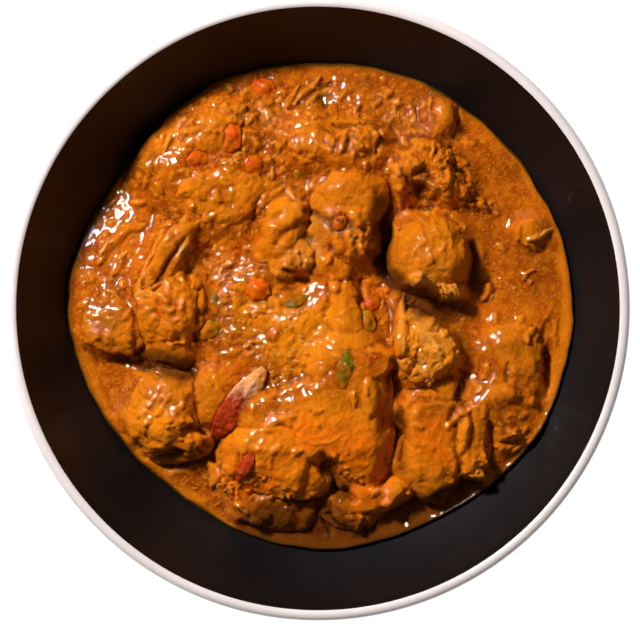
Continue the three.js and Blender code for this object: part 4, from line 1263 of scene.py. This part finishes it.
def gravy_mesh():
    """The gravy's top with all its relief, closed below by a plain underside."""
    across, up = disc_grid(GRAVY_GRID)
    angles = np.arctan2(up, across)
    share = np.hypot(across, up)
    edge = edge_at(angles)
    even = edge * (1 - share)
    crowd = EDGE_CROWD * (1 - np.exp(-even / EDGE_CROWD_REACH))
    inward = (even - crowd) * edge / (edge - EDGE_CROWD)
    distance = edge - inward
    x, y = distance * np.cos(angles), distance * np.sin(angles)
    points = np.stack([x, y, np.zeros_like(edge)], axis=1)
    wall = wall_height(distance)
    calm = smooth_step(0, EDGE_CALM, inward)
    height = looked_up(gravy_level, points) + looked_up(relief_map, points) * (0.1 + 0.9 * calm)
    # On the side away from the light the wet edge climbs the wall, and so it takes the light
    away_from_light = smooth_step(0.1, 0.7, np.cos(angles - MENISCUS_WAY))
    edge_round = EDGE_ROUND * (1 - away_from_light) + MENISCUS_ROUND * away_from_light
    roundness = np.sqrt(1 - (1 - np.clip(inward / edge_round, 0, 1)) ** 2)
    bead = np.exp(-(((inward - BEAD_INSIDE) / BEAD_HALF) ** 2))
    bead *= BEAD_HEIGHT * smooth_step(-0.5, 0.4, lumps(round_the_edge(angles), 9, 33))
    climb = MENISCUS * away_from_light * np.exp(-inward / MENISCUS_REACH)
    bead += climb * smooth_step(0, MENISCUS_ROUND, inward)
    points[:, 2] = wall + np.maximum(height - wall, EDGE_DEPTH) * roundness + bead
    # The underside lies just inside the wall of the bowl
    low_across, low_up = disc_grid(UNDER_GRID)
    low_edge = edge_at(np.arctan2(low_up, low_across))
    under = np.stack([low_across * low_edge, low_up * low_edge, np.zeros_like(low_edge)], axis=1)
    under[:, 2] = wall_height(np.hypot(under[:, 0], under[:, 1])) + UNDER_GAP
    faces = grid_faces(GRAVY_GRID).tolist()
    faces += (grid_faces(UNDER_GRID, flip=True) + len(points)).tolist()
    mesh = mesh_from("gravy", np.concatenate([points, under]), faces)
    film = np.exp(-np.concatenate([inward, np.zeros(len(under))]) / FILM_REACH)
    store_tones(mesh, points_of(mesh), film)
    return mesh


# ---------------------------------------------------------------- the chicken

# The way the fibres run in each piece, in degrees, how stringy and how lumpy it is, how much of it
# is bare of sauce, by how many rounds its facets are smoothed, and by how much the sauce swells it
PLAIN_MEAT = {
    "grain": 60,
    "stringy": 0.3,
    "lumpy": 0.35,
    "bare": 0.1,
    "rounded": 28,
    "swollen": 0.35,
}
MEAT = {
    "chicken_shred": {"grain": 70, "stringy": 0.6, "bare": 0.5},
    "chicken_round": {
        "grain": 84,
        "stringy": 0.7,
        "lumpy": 0.5,
        "bare": 0.45,
        "rounded": 120,
        "swollen": 0.8,
    },
    "chicken_twin_right": {"grain": 60, "stringy": 0.3, "lumpy": 0.5, "bare": 0.3},
    "chicken_twin_left": {"grain": 70, "stringy": 0.2, "bare": 0.1},
    "chicken_front_right": {"grain": 92, "stringy": 0.3, "lumpy": 0.4, "bare": 0.05},
    "chicken_front_left": {"grain": 20, "stringy": 0.2, "lumpy": 0.4, "bare": 0.05},
    "chicken_left_strip": {"grain": 62, "stringy": 0.9, "bare": 0.3},
    "chicken_left_block": {"grain": 95, "stringy": 0.4, "bare": 0.2},
    "chicken_lower_left": {"grain": 20, "stringy": 0.2, "bare": 0.2},
    "chicken_crumb": {"grain": 20, "stringy": 0.8, "lumpy": 1.2, "bare": 0.9},
}


FIBRE_STRETCH = 6  # how much longer than wide the marks of the fibres are
SMEARED = 0.35  # how unevenly the sauce covers a piece


def meat_mesh(node, seed):
    """A piece of meat in its coat of sauce."""
    kind = PLAIN_MEAT | MEAT.get(node, {})
    mesh = remeshed(node, MEAT_VOXEL, kind["rounded"])
    points = points_of(mesh)
    normals = normals_of(mesh)
    upright = smooth_step(0.05, 0.6, normals[:, 2])
    turn = math.radians(kind["grain"])
    along = points @ np.array([math.cos(turn), math.sin(turn), 0])
    across = points @ np.array([-math.sin(turn), math.cos(turn), 0])
    fibre = np.stack([along / FIBRE_STRETCH, across, points[:, 2] * 0.7], axis=1)
    bent = points + 1.2 * np.stack([lumps(points, 6, seed + i) for i in range(3)], axis=1)
    swell = 0.7 * lumps(points, 10, seed + 3) + 0.3 * lumps(bent, 5, seed + 4)
    strings = 0.35 * lumps(fibre, 1.9, seed + 6)
    crumbs, own = pebbles(bent, 2.4, seed + 8, fill=0.6)
    # What points up takes the relief of all the food, and the steep sides have their own
    side_relief = 0.5 * crumbs * own + 0.25 * lumps(bent, 2.2, seed + 9)
    height = kind["swollen"] + kind["lumpy"] * swell + kind["stringy"] * strings
    height += upright * looked_up(relief_map, points) + (1 - upright) * side_relief
    height += 0.05 * lumps(bent, 1.3, seed + 10)
    points = points + normals * height[:, None]
    set_points(mesh, points)
    store_tones(mesh, points, np.zeros(len(points)))
    bare = kind["bare"] + SMEARED * lumps(points, 7, seed + 11)
    store(mesh, "sauceless", np.clip(bare, 0, 1))
    return mesh


# ---------------------------------------------------------------- the toppings

TOPPING_ROUNDS = 2


def topping_mesh(node, seed, wrinkled, swollen):
    """A small piece, cooked soft and a little wrinkled."""
    mesh = remeshed(node, SMALL_VOXEL, TOPPING_ROUNDS)
    points = points_of(mesh)
    wrinkles = 0.35 * lumps(points, 4.0, seed) + 0.4 * lumps(points, 1.8, seed + 1)
    height = swollen + wrinkled * wrinkles
    points = points + normals_of(mesh) * height[:, None]
    set_points(mesh, points)
    # How far down its side each place is, and how far along the piece
    store(mesh, "side", smooth_step(0.2, 1.6, looked_up(fine_top, points) + 0.6 - points[:, 2]))
    spread = points - points.mean(axis=0)
    way = np.linalg.eigh(spread.T @ spread)[1][:, 2]
    way = way * (1 if way[1] > 0 else -1)
    reach = spread @ way
    store(mesh, "length", reach / np.abs(reach).max())
    return mesh


# ---------------------------------------------------------------- loose bits

# Small shreds of meat and onion in the sauce: reach, how many, and the points
SHRED_PLACES = [
    (16, 260, (-32, 44), (-30, 62)),
    (14, 150, (-30, 8)),
    (10, 120, (-16, -2), (-12, -24)),
    (12, 80, (-16, 66), (14, 66)),
    (8, 60, (26, 62)),
    (8, 60, (44, 42), (30, 42)),
    (6, 60, (34, -18)),
    (8, 50, (52, -46), (64, -42)),
    (8, 50, (-30, -56)),
    (8, 40, (-54, 4)),
    (8, 40, (18, 4), (2, -16)),
    (40, 60, (40, 0)),
    (8, 40, (-66, 20), (-70, -4)),
    (1.8, 60, (31, 10.6), (35.6, 9.2)),
    (2.2, 110, (39, 7), (46.5, 5)),
    (3.0, 50, (29, -18), (41, -20)),
]
GRAIN_COUNT = 2200
GRAIN_SPREAD = 80.0
BIT_UNEVEN = 0.12  # how far a bit's points are off its smooth form
TOPPING_CLEAR = 0.3  # bits stay off the toppings


def bits_mesh(name, spots, long, wide, tall, turns, bends, sunk, rings, sides, pale_from):
    """Small tapered bits that lie in the sauce and follow it. Each is rings of points round its
    length, closed at both ends. pale_from is how bare of sauce the least bare one is."""
    share = np.linspace(-1, 1, rings + 2)[1:-1]
    girth = np.sqrt(1 - share**2)
    rounds = np.linspace(0, math.tau, sides, endpoint=False)
    one = [(-1.0, 0.0, 0.0)]
    for s, g in zip(share, girth):
        one += [(s, g * math.cos(r), g * math.sin(r)) for r in rounds]
    one.append((1.0, 0.0, 0.0))
    one = np.array(one)
    count = len(spots)
    along = one[None, :, 0] * long[:, None]
    across = one[None, :, 1] * wide[:, None] + bends[:, None] * (one[None, :, 0] ** 2 - 0.4)
    up = one[None, :, 2] * tall[:, None]
    cosine, sine = np.cos(turns)[:, None], np.sin(turns)[:, None]
    x = spots[:, 0, None] + along * cosine - across * sine
    y = spots[:, 1, None] + along * sine + across * cosine
    flat = np.stack([x.ravel(), y.ravel(), np.zeros(x.size)], axis=1)
    ground = looked_up(fine_top, flat)
    flat[:, 2] = ground + (up - (sunk * tall)[:, None]).ravel()
    flat += BIT_UNEVEN * np.stack([lumps(flat, 0.9, 71 + i) for i in range(3)], axis=1)
    step = len(one)
    faces = ring_faces(rings, sides)[0]
    every = [[number * step + i for i in face] for number in range(count) for face in faces]
    mesh = mesh_from(name, flat, every)
    store_tones(mesh, flat, np.zeros(len(flat)))
    own = np.repeat(np.random.default_rng(count).random(count), step)
    store(mesh, "sauceless", pale_from + (1 - pale_from) * own)
    return mesh


def in_the_open(spots, room):
    """Which places are that far inside the gravy's edge and beside the toppings."""
    edge = edge_at(np.arctan2(spots[:, 1], spots[:, 0]))
    inside = np.hypot(spots[:, 0], spots[:, 1]) < edge - room
    return inside & (looked_up(topping_near, spots) < TOPPING_CLEAR)


def shreds_mesh():
    draw = np.random.default_rng(11)
    places = [near_line(draw, count, reach, path) for reach, count, *path in SHRED_PLACES]
    spots = np.concatenate(places)
    spots = spots[in_the_open(spots, room=5)]
    count = len(spots)
    long = draw.uniform(0.8, 2.2, count) * draw.uniform(0.7, 1, count)
    wide = draw.uniform(0.55, 1.2, count)
    tall = draw.uniform(0.4, 0.75, count)
    bends = draw.normal(size=count) * 0.5
    turns = draw.uniform(0, math.pi, count)
    sunk = draw.uniform(0.35, 0.9, count)
    return bits_mesh(
        "shreds", spots, long, wide, tall, turns, bends, sunk, rings=6, sides=7, pale_from=0.0
    )


def grains_mesh():
    draw = np.random.default_rng(12)
    spots = draw.uniform(-GRAIN_SPREAD, GRAIN_SPREAD, (GRAIN_COUNT * 2, 2))
    spots = spots[in_the_open(spots, room=3)][:GRAIN_COUNT]
    count = len(spots)
    size = draw.uniform(0.18, 0.38, count)
    long = size * draw.uniform(1, 1.6, count)
    turns = draw.uniform(0, math.pi, count)
    sunk = draw.uniform(0.2, 0.8, count)
    return bits_mesh(
        "grains", spots, long, size, size, turns, np.zeros(count), sunk, rings=2, sides=5, pale_from=0.6
    )


# ---------------------------------------------------------------- the bowl


def arc(centre, radius, start, end, steps):
    """Points of a circle in the profile, from one angle to another, in degrees."""
    angles = np.radians(np.linspace(start, end, steps))
    return [(centre[0] + radius * math.cos(a), centre[1] + radius * math.sin(a)) for a in angles]


OUTSIDE_STEPS = 40
LIP_STEPS = 17
INSIDE_STEPS = 60


def bowl_profile():
    """The bowl's section from under the middle, round the outside and the lip, to the inside.
    Gives the points, and how many of them come before the black inside starts."""
    shoulder = FOOT_RADIUS + FOOT_DRAFT
    rise = LIP_MIDDLE - FOOT_HEIGHT
    outside_centre = (BOWL_RADIUS**2 - shoulder**2 + LIP_MIDDLE**2 - FOOT_HEIGHT**2) / (2 * rise)
    outside_radius = math.hypot(BOWL_RADIUS, outside_centre - LIP_MIDDLE)
    low = math.degrees(math.atan2(FOOT_HEIGHT - outside_centre, shoulder))
    high = math.degrees(math.atan2(LIP_MIDDLE - outside_centre, BOWL_RADIUS))
    ring = FOOT_RADIUS - FOOT_WIDTH
    recess = ring - FOOT_DRAFT
    under = [(0, RECESS_HEIGHT), (recess - 1.2, RECESS_HEIGHT), (recess, RECESS_HEIGHT - 0.3)]
    foot = [(ring - 0.3, 0.3), (ring + 0.3, 0), (FOOT_RADIUS - 0.6, 0), (FOOT_RADIUS, 0.5)]
    outside = arc((0, outside_centre), outside_radius, low, high, OUTSIDE_STEPS)
    lip = arc((BOWL_RADIUS - LIP_HALF, LIP_MIDDLE), LIP_HALF, 0, 180, LIP_STEPS)[1:]
    steep = math.degrees(math.asin(LIP_INSIDE / INSIDE_RADIUS))
    inside = arc((0, INSIDE_CENTRE), INSIDE_RADIUS, steep - 90, -90, INSIDE_STEPS)
    outer = under + foot + outside + lip
    return outer + inside[1:], len(outer) - 2 - GLAZE_OVER


def bowl_mesh():
    """The bowl's section turned round its axis. Gives the mesh, and which faces are glazed black."""
    profile, dark_from = bowl_profile()
    turns = np.linspace(0, math.tau, BOWL_SIDES, endpoint=False)
    rings = profile[1:-1]
    points = [(0, 0, profile[0][1])]
    for reach, height in rings:
        points += [(reach * math.cos(t), reach * math.sin(t), height) for t in turns]
    points.append((0, 0, profile[-1][1]))
    faces, ring_of = ring_faces(len(rings), BOWL_SIDES)
    dark = [int(ring >= dark_from) for ring in ring_of]
    return mesh_from("bowl", np.array(points), faces), dark


# ---------------------------------------------------------------- materials


def linear(text, alpha=1.0):
    """A colour written as sRGB hex, as Blender's linear numbers."""
    parts = [int(text[i : i + 2], 16) / 255 for i in (1, 3, 5)]
    return (*[p / 12.92 if p <= 0.04045 else ((p + 0.055) / 1.055) ** 2.4 for p in parts], alpha)


def per(length):
    """The scale that gives a pattern this many millimetres."""
    return 1 / (length * MM)


def add(tree, kind, inputs=None, **settings):
    """Adds a node with its settings, and fills or links its inputs."""
    node = tree.nodes.new(kind)
    for name, value in settings.items():
        setattr(node, name, value)
    for name, value in (inputs or {}).items():
        if isinstance(value, bpy.types.NodeSocket):
            tree.links.new(value, node.inputs[name])
        else:
            node.inputs[name].default_value = value
    return node


MIX_FIRST, MIX_SECOND, MIX_RESULT = 6, 7, 2  # the colour sockets of a Mix node


def painted(tree, ground, coats):
    """Lays coats of colour over a ground. Each coat shows where its pattern rises from one value
    to another, up to the strength it has."""
    colour = linear(ground)
    for pattern, low, high, strength, coat in coats:
        share = add(
            tree,
            "ShaderNodeMapRange",
            {"Value": pattern, "From Min": low, "From Max": high, "To Min": 0.0, "To Max": strength},
            interpolation_type="SMOOTHSTEP",
        )
        mix = add(
            tree,
            "ShaderNodeMix",
            {0: share.outputs["Result"], MIX_FIRST: colour, MIX_SECOND: linear(coat)},
            data_type="RGBA",
        )
        colour = mix.outputs[MIX_RESULT]
    return colour


def specks(tree, place, spacing, radius, chosen):
    """Round specks that far apart, of that radius, of which a share is left out."""
    cells = add(tree, "ShaderNodeTexVoronoi", {"Vector": place, "Scale": per(spacing)})
    number = add(tree, "ShaderNodeSeparateColor", {"Color": cells.outputs["Color"]}).outputs["Red"]
    kept = add(tree, "ShaderNodeMath", {0: number, 1: chosen}, operation="GREATER_THAN").outputs["Value"]
    size = radius / spacing
    near = add(
        tree,
        "ShaderNodeMapRange",
        {"Value": cells.outputs["Distance"], "From Min": size * 1.3, "From Max": size * 0.7},
    ).outputs["Result"]
    return add(tree, "ShaderNodeMath", {0: kept, 1: near}, operation="MULTIPLY").outputs["Value"]


def material(name):
    made = bpy.data.materials.new(name)
    made.use_nodes = True
    tree = made.node_tree
    tree.nodes.clear()
    return made, tree, add(tree, "ShaderNodeTexCoord").outputs["Object"]


SAUCE = {
    "deep": "#9a4403",
    "orange": "#be5a04",
    "golden": "#da7a0a",
    # painted light of lit tops, over thick smooth sauce
    "smooth_sauce_and_light": "#ec880a",
    "red": "#a43002",
    "meat": "#ac6e2a",
    "pale": "#ea9e42",
    "grain": "#de8c22",
    "vivid": "#f07004",
    # painted shade for deep crevices and small hollows
    "hollow": "#341002",
    # painted shade in clefts and under pieces, and thin juice over the black glaze
    "dark": "#2c0f03",
    "olive": "#4a3804",
    "spice": "#200c04",
}


def sauced(name, showing):
    """Food under a thick simmered onion and tomato sauce: an orange-brown paste full of fine
    grains of spice and onion, with an oily film that gives small sharp glints. Its colour also holds
    painted shade in crevices, small hollows and clefts, and painted light on small crests and lit
    tops. showing is how much of the pale food below the sauce comes through."""
    made, tree, place = material(name)
    slow, quick, grain, pulp, oily = [
        add(tree, "ShaderNodeTexNoise", {"Vector": place, "Scale": per(size), "Detail": steps}).outputs["Fac"]
        for size, steps in ((13, 4.0), (3.2, 5.0), (1.1, 2.0), (0.55, 1.0), (6, 4.0))
    ]
    tone = {
        name: add(tree, "ShaderNodeAttribute", attribute_name=name).outputs["Fac"]
        for name in ("film", "crevice_shade", "crest_light_and_hollow_shade", "shred", *TONES)
    }
    coats = [
        (slow, 0.36, 0.64, 1.0, SAUCE["orange"]),
        (oily, 0.52, 0.7, 0.4, SAUCE["red"]),
        (quick, 0.44, 0.68, 0.45, SAUCE["golden"]),
        # painted light on the lit tops of high chunks
        (tone["smooth_sauce_and_light"], 0.1, 1.0, 0.8, SAUCE["smooth_sauce_and_light"]),
        (tone["vivid"], 0.1, 1.0, 0.8, SAUCE["vivid"]),
        (tone["red"], 0.1, 1.0, 0.7, SAUCE["red"]),
        (tone["bare"], 0.2, 0.9, 0.85, SAUCE["meat"]),
    ]
    if showing:
        sauceless = add(tree, "ShaderNodeAttribute", attribute_name="sauceless").outputs["Fac"]
        coats.append((sauceless, 0.45, 1.0, showing, SAUCE["pale"]))
    coats += [
        (tone["pale"], 0.15, 0.9, 0.85, SAUCE["pale"]),
        (tone["shred"], 0.2, 0.9, 0.4, SAUCE["golden"]),
        # painted light on small crests, and painted shade in small hollows
        (tone["crest_light_and_hollow_shade"], 0.1, 1.0, 0.6, SAUCE["golden"]),
        (tone["crest_light_and_hollow_shade"], -0.1, -1.0, 0.55, SAUCE["hollow"]),
        (grain, 0.54, 0.7, 0.4, SAUCE["grain"]),
        (pulp, 0.52, 0.7, 0.18, SAUCE["grain"]),
        (pulp, 0.46, 0.3, 0.12, SAUCE["deep"]),
        (specks(tree, place, 1.5, 0.3, 0.55), 0.0, 1.0, 0.42, SAUCE["grain"]),
        (tone["olive"], 0.1, 1.0, 0.6, SAUCE["olive"]),
        # painted shade deep between higher food
        (tone["crevice_shade"], 0.25, 1.1, 0.6, SAUCE["hollow"]),
        (tone["film"], 0.2, 0.9, 0.85, SAUCE["olive"]),
        # painted shade in clefts and under pieces, and thin dark juice at the edge
        (tone["dark"], 0.1, 1.0, 0.78, SAUCE["dark"]),
        (specks(tree, place, 2.8, 0.22, 0.68), 0.0, 1.0, 0.7, SAUCE["spice"]),
    ]
    colour = painted(tree, SAUCE["deep"], coats)
    shine = add(
        tree,
        "ShaderNodeMapRange",
        {"Value": tone["wet"], "From Min": 0.0, "From Max": 0.7, "To Min": 0.5, "To Max": 1.0},
    ).outputs["Result"]
    rough = add(
        tree,
        "ShaderNodeMapRange",
        {"Value": oily, "From Min": 0.3, "From Max": 0.7, "To Min": 0.75, "To Max": 0.6},
    ).outputs["Result"]
    # The oily film draws out across the light, which turns its glints into short streaks
    drawn_out = add(
        tree,
        "ShaderNodeMapping",
        {"Vector": place, "Rotation": (0.0, 0.0, math.radians(45)), "Scale": (1.8, 1.0, 1.0)},
        vector_type="TEXTURE",
    ).outputs["Vector"]
    beads = add(
        tree, "ShaderNodeTexNoise", {"Vector": drawn_out, "Scale": per(1.1), "Detail": 1.0}
    ).outputs["Fac"]
    coarse = add(tree, "ShaderNodeBump", {"Height": beads, "Distance": 0.5 * MM, "Strength": 0.36})
    ripple = add(
        tree,
        "ShaderNodeBump",
        {"Height": pulp, "Distance": 0.3 * MM, "Strength": 0.12, "Normal": coarse.outputs["Normal"]},
    )
    fine = add(
        tree,
        "ShaderNodeBump",
        {"Height": grain, "Distance": 0.3 * MM, "Strength": 0.6, "Normal": coarse.outputs["Normal"]},
    )
    surface = add(
        tree,
        "ShaderNodeBsdfPrincipled",
        {
            "Base Color": colour,
            "Roughness": rough,
            "IOR": 1.4,
            "Specular IOR Level": 0.05,
            "Subsurface Weight": 0.2,
            "Subsurface Radius": (1.0, 0.4, 0.1),
            "Subsurface Scale": 1.0 * MM,
            "Coat Weight": shine,
            "Coat Roughness": 0.03,
            "Coat IOR": 1.5,
            "Normal": fine.outputs["Normal"],
            "Coat Normal": ripple.outputs["Normal"],
        },
    )
    add(tree, "ShaderNodeOutputMaterial", {"Surface": surface.outputs["BSDF"]})
    return made


def soft_vegetable(name, body, pale, sauce_share, glow, shine):
    """Diced vegetable stewed soft: its own wet flesh, with sauce lying over a part of it."""
    made, tree, place = material(name)
    veins, cover, grain = [
        add(tree, "ShaderNodeTexNoise", {"Vector": place, "Scale": per(size), "Detail": steps}).outputs["Fac"]
        for size, steps in ((2.2, 3.0), (4.5, 3.0), (0.8, 2.0))
    ]
    side = add(tree, "ShaderNodeAttribute", attribute_name="side").outputs["Fac"]
    edge = 0.66 - 0.3 * sauce_share
    colour = painted(
        tree,
        body,
        [
            (veins, 0.42, 0.7, 0.8, pale),
            (side, 0.2, 0.9, 0.8, SAUCE["orange"]),
            (cover, edge - 0.14, edge + 0.14, 0.85, SAUCE["orange"]),
            (grain, 0.58, 0.72, 0.3, SAUCE["grain"]),
        ],
    )
    bump = add(tree, "ShaderNodeBump", {"Height": grain, "Distance": 0.2 * MM, "Strength": 0.5})
    surface = add(
        tree,
        "ShaderNodeBsdfPrincipled",
        {
            "Base Color": colour,
            "Roughness": 0.45,
            "IOR": 1.4,
            "Specular IOR Level": 0.05,
            "Subsurface Weight": glow,
            "Subsurface Radius": (1.0, 0.3, 0.1),
            "Subsurface Scale": 1.5 * MM,
            "Coat Weight": shine,
            "Coat Roughness": 0.08,
            "Normal": bump.outputs["Normal"],
            "Coat Normal": bump.outputs["Normal"],
        },
    )
    add(tree, "ShaderNodeOutputMaterial", {"Surface": surface.outputs["BSDF"]})
    return made


def chilli_skin(name, sheen_and_tan_end):
    """The skin of a dried red chilli, softened in the sauce: leathery and deep red where it is wet.
    Its upper end has dried to the tan of the stalk end; a milky band there and the tan's lightness are
    painted sheen."""
    made, tree, place = material(name)
    veins, grain = [
        add(tree, "ShaderNodeTexNoise", {"Vector": place, "Scale": per(size), "Detail": steps}).outputs["Fac"]
        for size, steps in ((2.2, 5.0), (0.9, 2.0))
    ]
    length, side = [
        add(tree, "ShaderNodeAttribute", attribute_name=name).outputs["Fac"] for name in ("length", "side")
    ]
    ragged = add(tree, "ShaderNodeMath", {0: veins, 1: length}, operation="ADD").outputs["Value"]
    colour = painted(
        tree,
        "#a82e0e",
        [
            (veins, 0.4, 0.65, 0.8, "#c04a1a"),
            # painted sheen: a milky band, then the stalk end's tan, made lighter as if lit
            (ragged, 0.4, 0.9, 0.8 * sheen_and_tan_end, "#e2aa80"),
            (ragged, 0.85, 1.15, 0.9 * sheen_and_tan_end, "#e49444"),
            (grain, 0.56, 0.7, 0.5, "#d06a28"),
            (grain, 0.44, 0.3, 0.25, "#5c1406"),
            (side, 0.3, 0.9, 0.85, SAUCE["orange"]),
        ],
    )
    bump = add(tree, "ShaderNodeBump", {"Height": grain, "Distance": 0.25 * MM, "Strength": 0.8})
    surface = add(
        tree,
        "ShaderNodeBsdfPrincipled",
        {
            "Base Color": colour,
            "Roughness": 0.6,
            "IOR": 1.42,
            "Specular IOR Level": 0.1,
            "Coat Weight": 0.3,
            "Coat Roughness": 0.08,
            "Normal": bump.outputs["Normal"],
            "Coat Normal": bump.outputs["Normal"],
        },
    )
    add(tree, "ShaderNodeOutputMaterial", {"Surface": surface.outputs["BSDF"]})
    return made


def glazed_white():
    """White glaze on stoneware, dipped and fired: smooth and glossy, with a faint warm drift in
    its whiteness and a rare iron speck."""
    made, tree, place = material("white_stoneware_glaze")
    drift = add(tree, "ShaderNodeTexNoise", {"Vector": place, "Scale": per(30), "Detail": 2.0}).outputs["Fac"]
    colour = painted(
        tree,
        "#ebe1e3",
        [
            (drift, 0.3, 0.7, 1.0, "#f3ebed"),
            (specks(tree, place, 7, 0.22, 0.9), 0.0, 1.0, 0.9, "#5a4a44"),
        ],
    )
    wavy = add(tree, "ShaderNodeBump", {"Height": drift, "Distance": 0.3 * MM, "Strength": 0.15})
    surface = add(
        tree,
        "ShaderNodeBsdfPrincipled",
        {"Base Color": colour, "Roughness": 0.25, "IOR": 1.5, "Normal": wavy.outputs["Normal"]},
    )
    add(tree, "ShaderNodeOutputMaterial", {"Surface": surface.outputs["BSDF"]})
    return made


def glazed_black():
    """Satin black glaze, sprayed on stoneware: almost black with a warm brown cast, and a fine
    texture that spreads the light into a soft sheen."""
    made, tree, place = material("satin_black_glaze")
    drift, fine = [
        add(tree, "ShaderNodeTexNoise", {"Vector": place, "Scale": per(size), "Detail": steps}).outputs["Fac"]
        for size, steps in ((22, 3.0), (0.7, 2.0))
    ]
    colour = painted(tree, "#0b080b", [(drift, 0.35, 0.65, 1.0, "#110c0e")])
    bump = add(tree, "ShaderNodeBump", {"Height": fine, "Distance": 0.03 * MM, "Strength": 0.4})
    surface = add(
        tree,
        "ShaderNodeBsdfPrincipled",
        {
            "Base Color": colour,
            "Roughness": 0.5,
            "IOR": 1.5,
            "Specular IOR Level": 0.3,
            "Normal": bump.outputs["Normal"],
        },
    )
    add(tree, "ShaderNodeOutputMaterial", {"Surface": surface.outputs["BSDF"]})
    return made


# ---------------------------------------------------------------- making the object

white_glaze = glazed_white()
black_glaze = glazed_black()
gravy_sauce = sauced("simmered_curry_gravy", 0.0)
meat_sauce = sauced("chicken_in_curry_sauce", 0.35)
bits_sauce = sauced("onion_and_meat_bits_in_curry_sauce", 0.6)
TOPPINGS = {
    "tomato": soft_vegetable("stewed_tomato", "#c83c04", "#dc5e10", 0.6, 0.05, 0.3),
    "carrot": soft_vegetable("stewed_carrot", "#d85404", "#e4700c", 0.4, 0.05, 0.3),
    "green_pepper": soft_vegetable("stewed_green_pepper", "#84680a", "#bc8a12", 0.5, 0.0, 0.15),
    "chilli": chilli_skin("softened_chilli_skin", 1.0),
    "herb": soft_vegetable("wilted_coriander", "#564c06", "#7e7010", 0.45, 0.0, 0.15),
}
red_skin = chilli_skin("softened_chilli_strip", 0.0)
SLOT_OF = {
    "tomato_": "tomato",
    "carrot_": "carrot",
    "pepper_": "green_pepper",
    "chilli_": "chilli",
    "herb_": "herb",
}
RED_SKIN_NODE = "chilli_skin_small"
MEAT_SEED, MEAT_SEED_STEP = 100, 20
TOPPING_SEED, TOPPING_SEED_STEP = 900, 5
# Pieces that lie deeper in the sauce than the others: by how much they swell
SUNK = {"tomato_dice_6": -0.45, "carrot_dice_2": -0.1, "herb_leaf_1": 0.1, "tomato_dice_5": 0.0}

bowl, dark_faces = bowl_mesh()
new_piece("bowl_glazed", bowl, white_glaze, "bowl_glaze", "bowl")
bowl.materials.append(black_glaze)
bowl.polygons.foreach_set("material_index", dark_faces)

new_piece("gravy_pool", gravy_mesh(), gravy_sauce, "gravy", "gravy")

for number, node in enumerate(MEAT_NODES):
    mesh = meat_mesh(node, MEAT_SEED + MEAT_SEED_STEP * number)
    new_piece(node.replace("chicken_", "meat_"), mesh, meat_sauce, "chicken", node)

for number, node in enumerate(TOPPING_NODES):
    slot = next(slot for start, slot in SLOT_OF.items() if node.startswith(start))
    thin = slot in ("chilli", "herb")
    swollen = SUNK.get(node, 0.3 if thin else 0.4)
    mesh = topping_mesh(node, TOPPING_SEED + TOPPING_SEED_STEP * number, 0.7 if thin else 0.8, swollen)
    finish = red_skin if node == RED_SKIN_NODE else TOPPINGS[slot]
    new_piece(node + "_soft", mesh, finish, slot, node)

new_piece("meat_shreds", shreds_mesh(), bits_sauce, "chicken")
new_piece("gravy_grains", grains_mesh(), bits_sauce, "gravy")

# ---------------------------------------------------------------- the studio

FLOOR_HALF = 3000.0
FLOOR_GLOW = 1.0
ROOM_GLOW = 0.07
CAMERA_PLACE = (0.64, -3.7, BOWL_HEIGHT + 600.0)
CAMERA_SENSOR = 36.0
CAMERA_LENS = 105.6
CAMERA_SIGHT = 20.0  # metres


def light_table():
    """A plain white sheet lit from below, so that it holds no shadow."""
    made, tree, place = material("white_light_table")
    drift = add(tree, "ShaderNodeTexNoise", {"Vector": place, "Scale": per(60), "Detail": 2.0}).outputs["Fac"]
    colour = painted(tree, "#fefefd", [(drift, 0.3, 0.7, 1.0, "#ffffff")])
    surface = add(
        tree,
        "ShaderNodeBsdfPrincipled",
        {
            "Base Color": linear("#4c4c4c"),
            "Roughness": 0.9,
            "Specular IOR Level": 0.1,
            "Emission Color": colour,
            "Emission Strength": FLOOR_GLOW,
        },
    )
    add(tree, "ShaderNodeOutputMaterial", {"Surface": surface.outputs["BSDF"]})
    return made


floor_corners = np.array([(-1, -1, 0), (1, -1, 0), (1, 1, 0), (-1, 1, 0)]) * FLOOR_HALF
floor = bpy.data.objects.new("floor", mesh_from("floor", floor_corners, [(0, 1, 2, 3)]))
floor.data.materials.append(light_table())
bpy.context.scene.collection.objects.link(floor)


def lamp(name, place, aim, size, watts, glow, glossy=True):
    """A square soft light at a place, facing another."""
    data = bpy.data.lights.new(name, "AREA")
    data.color = linear(glow)[:3]
    data.size = size * MM
    data.energy = watts
    light = bpy.data.objects.new(name, data)
    light.location = Vector(place) * MM
    light.rotation_euler = (Vector(aim) - Vector(place)).to_track_quat("-Z", "Y").to_euler()
    light.visible_glossy = glossy
    bpy.context.scene.collection.objects.link(light)


lamp("window", (-430, 430, 610), (0, 0, 55), 125, 9.5, "#fffaf3")
lamp("fill", (300, -200, 1100), (0, 0, 50), 700, 0.7, "#ffffff", glossy=False)

world = bpy.data.worlds.new("pale_room")
bpy.context.scene.world = world
world.use_nodes = True
room = world.node_tree.nodes["Background"].inputs
room["Color"].default_value = linear("#ffffff")
room["Strength"].default_value = ROOM_GLOW
world.cycles_visibility.glossy = False
bpy.context.scene.view_settings.view_transform = "Standard"

camera_data = bpy.data.cameras.new("above")
camera_data.sensor_width = CAMERA_SENSOR
camera_data.lens = CAMERA_LENS
camera_data.clip_end = CAMERA_SIGHT
camera = bpy.data.objects.new("above", camera_data)
camera.location = Vector(CAMERA_PLACE) * MM
bpy.context.scene.collection.objects.link(camera)
bpy.context.scene.camera = camera
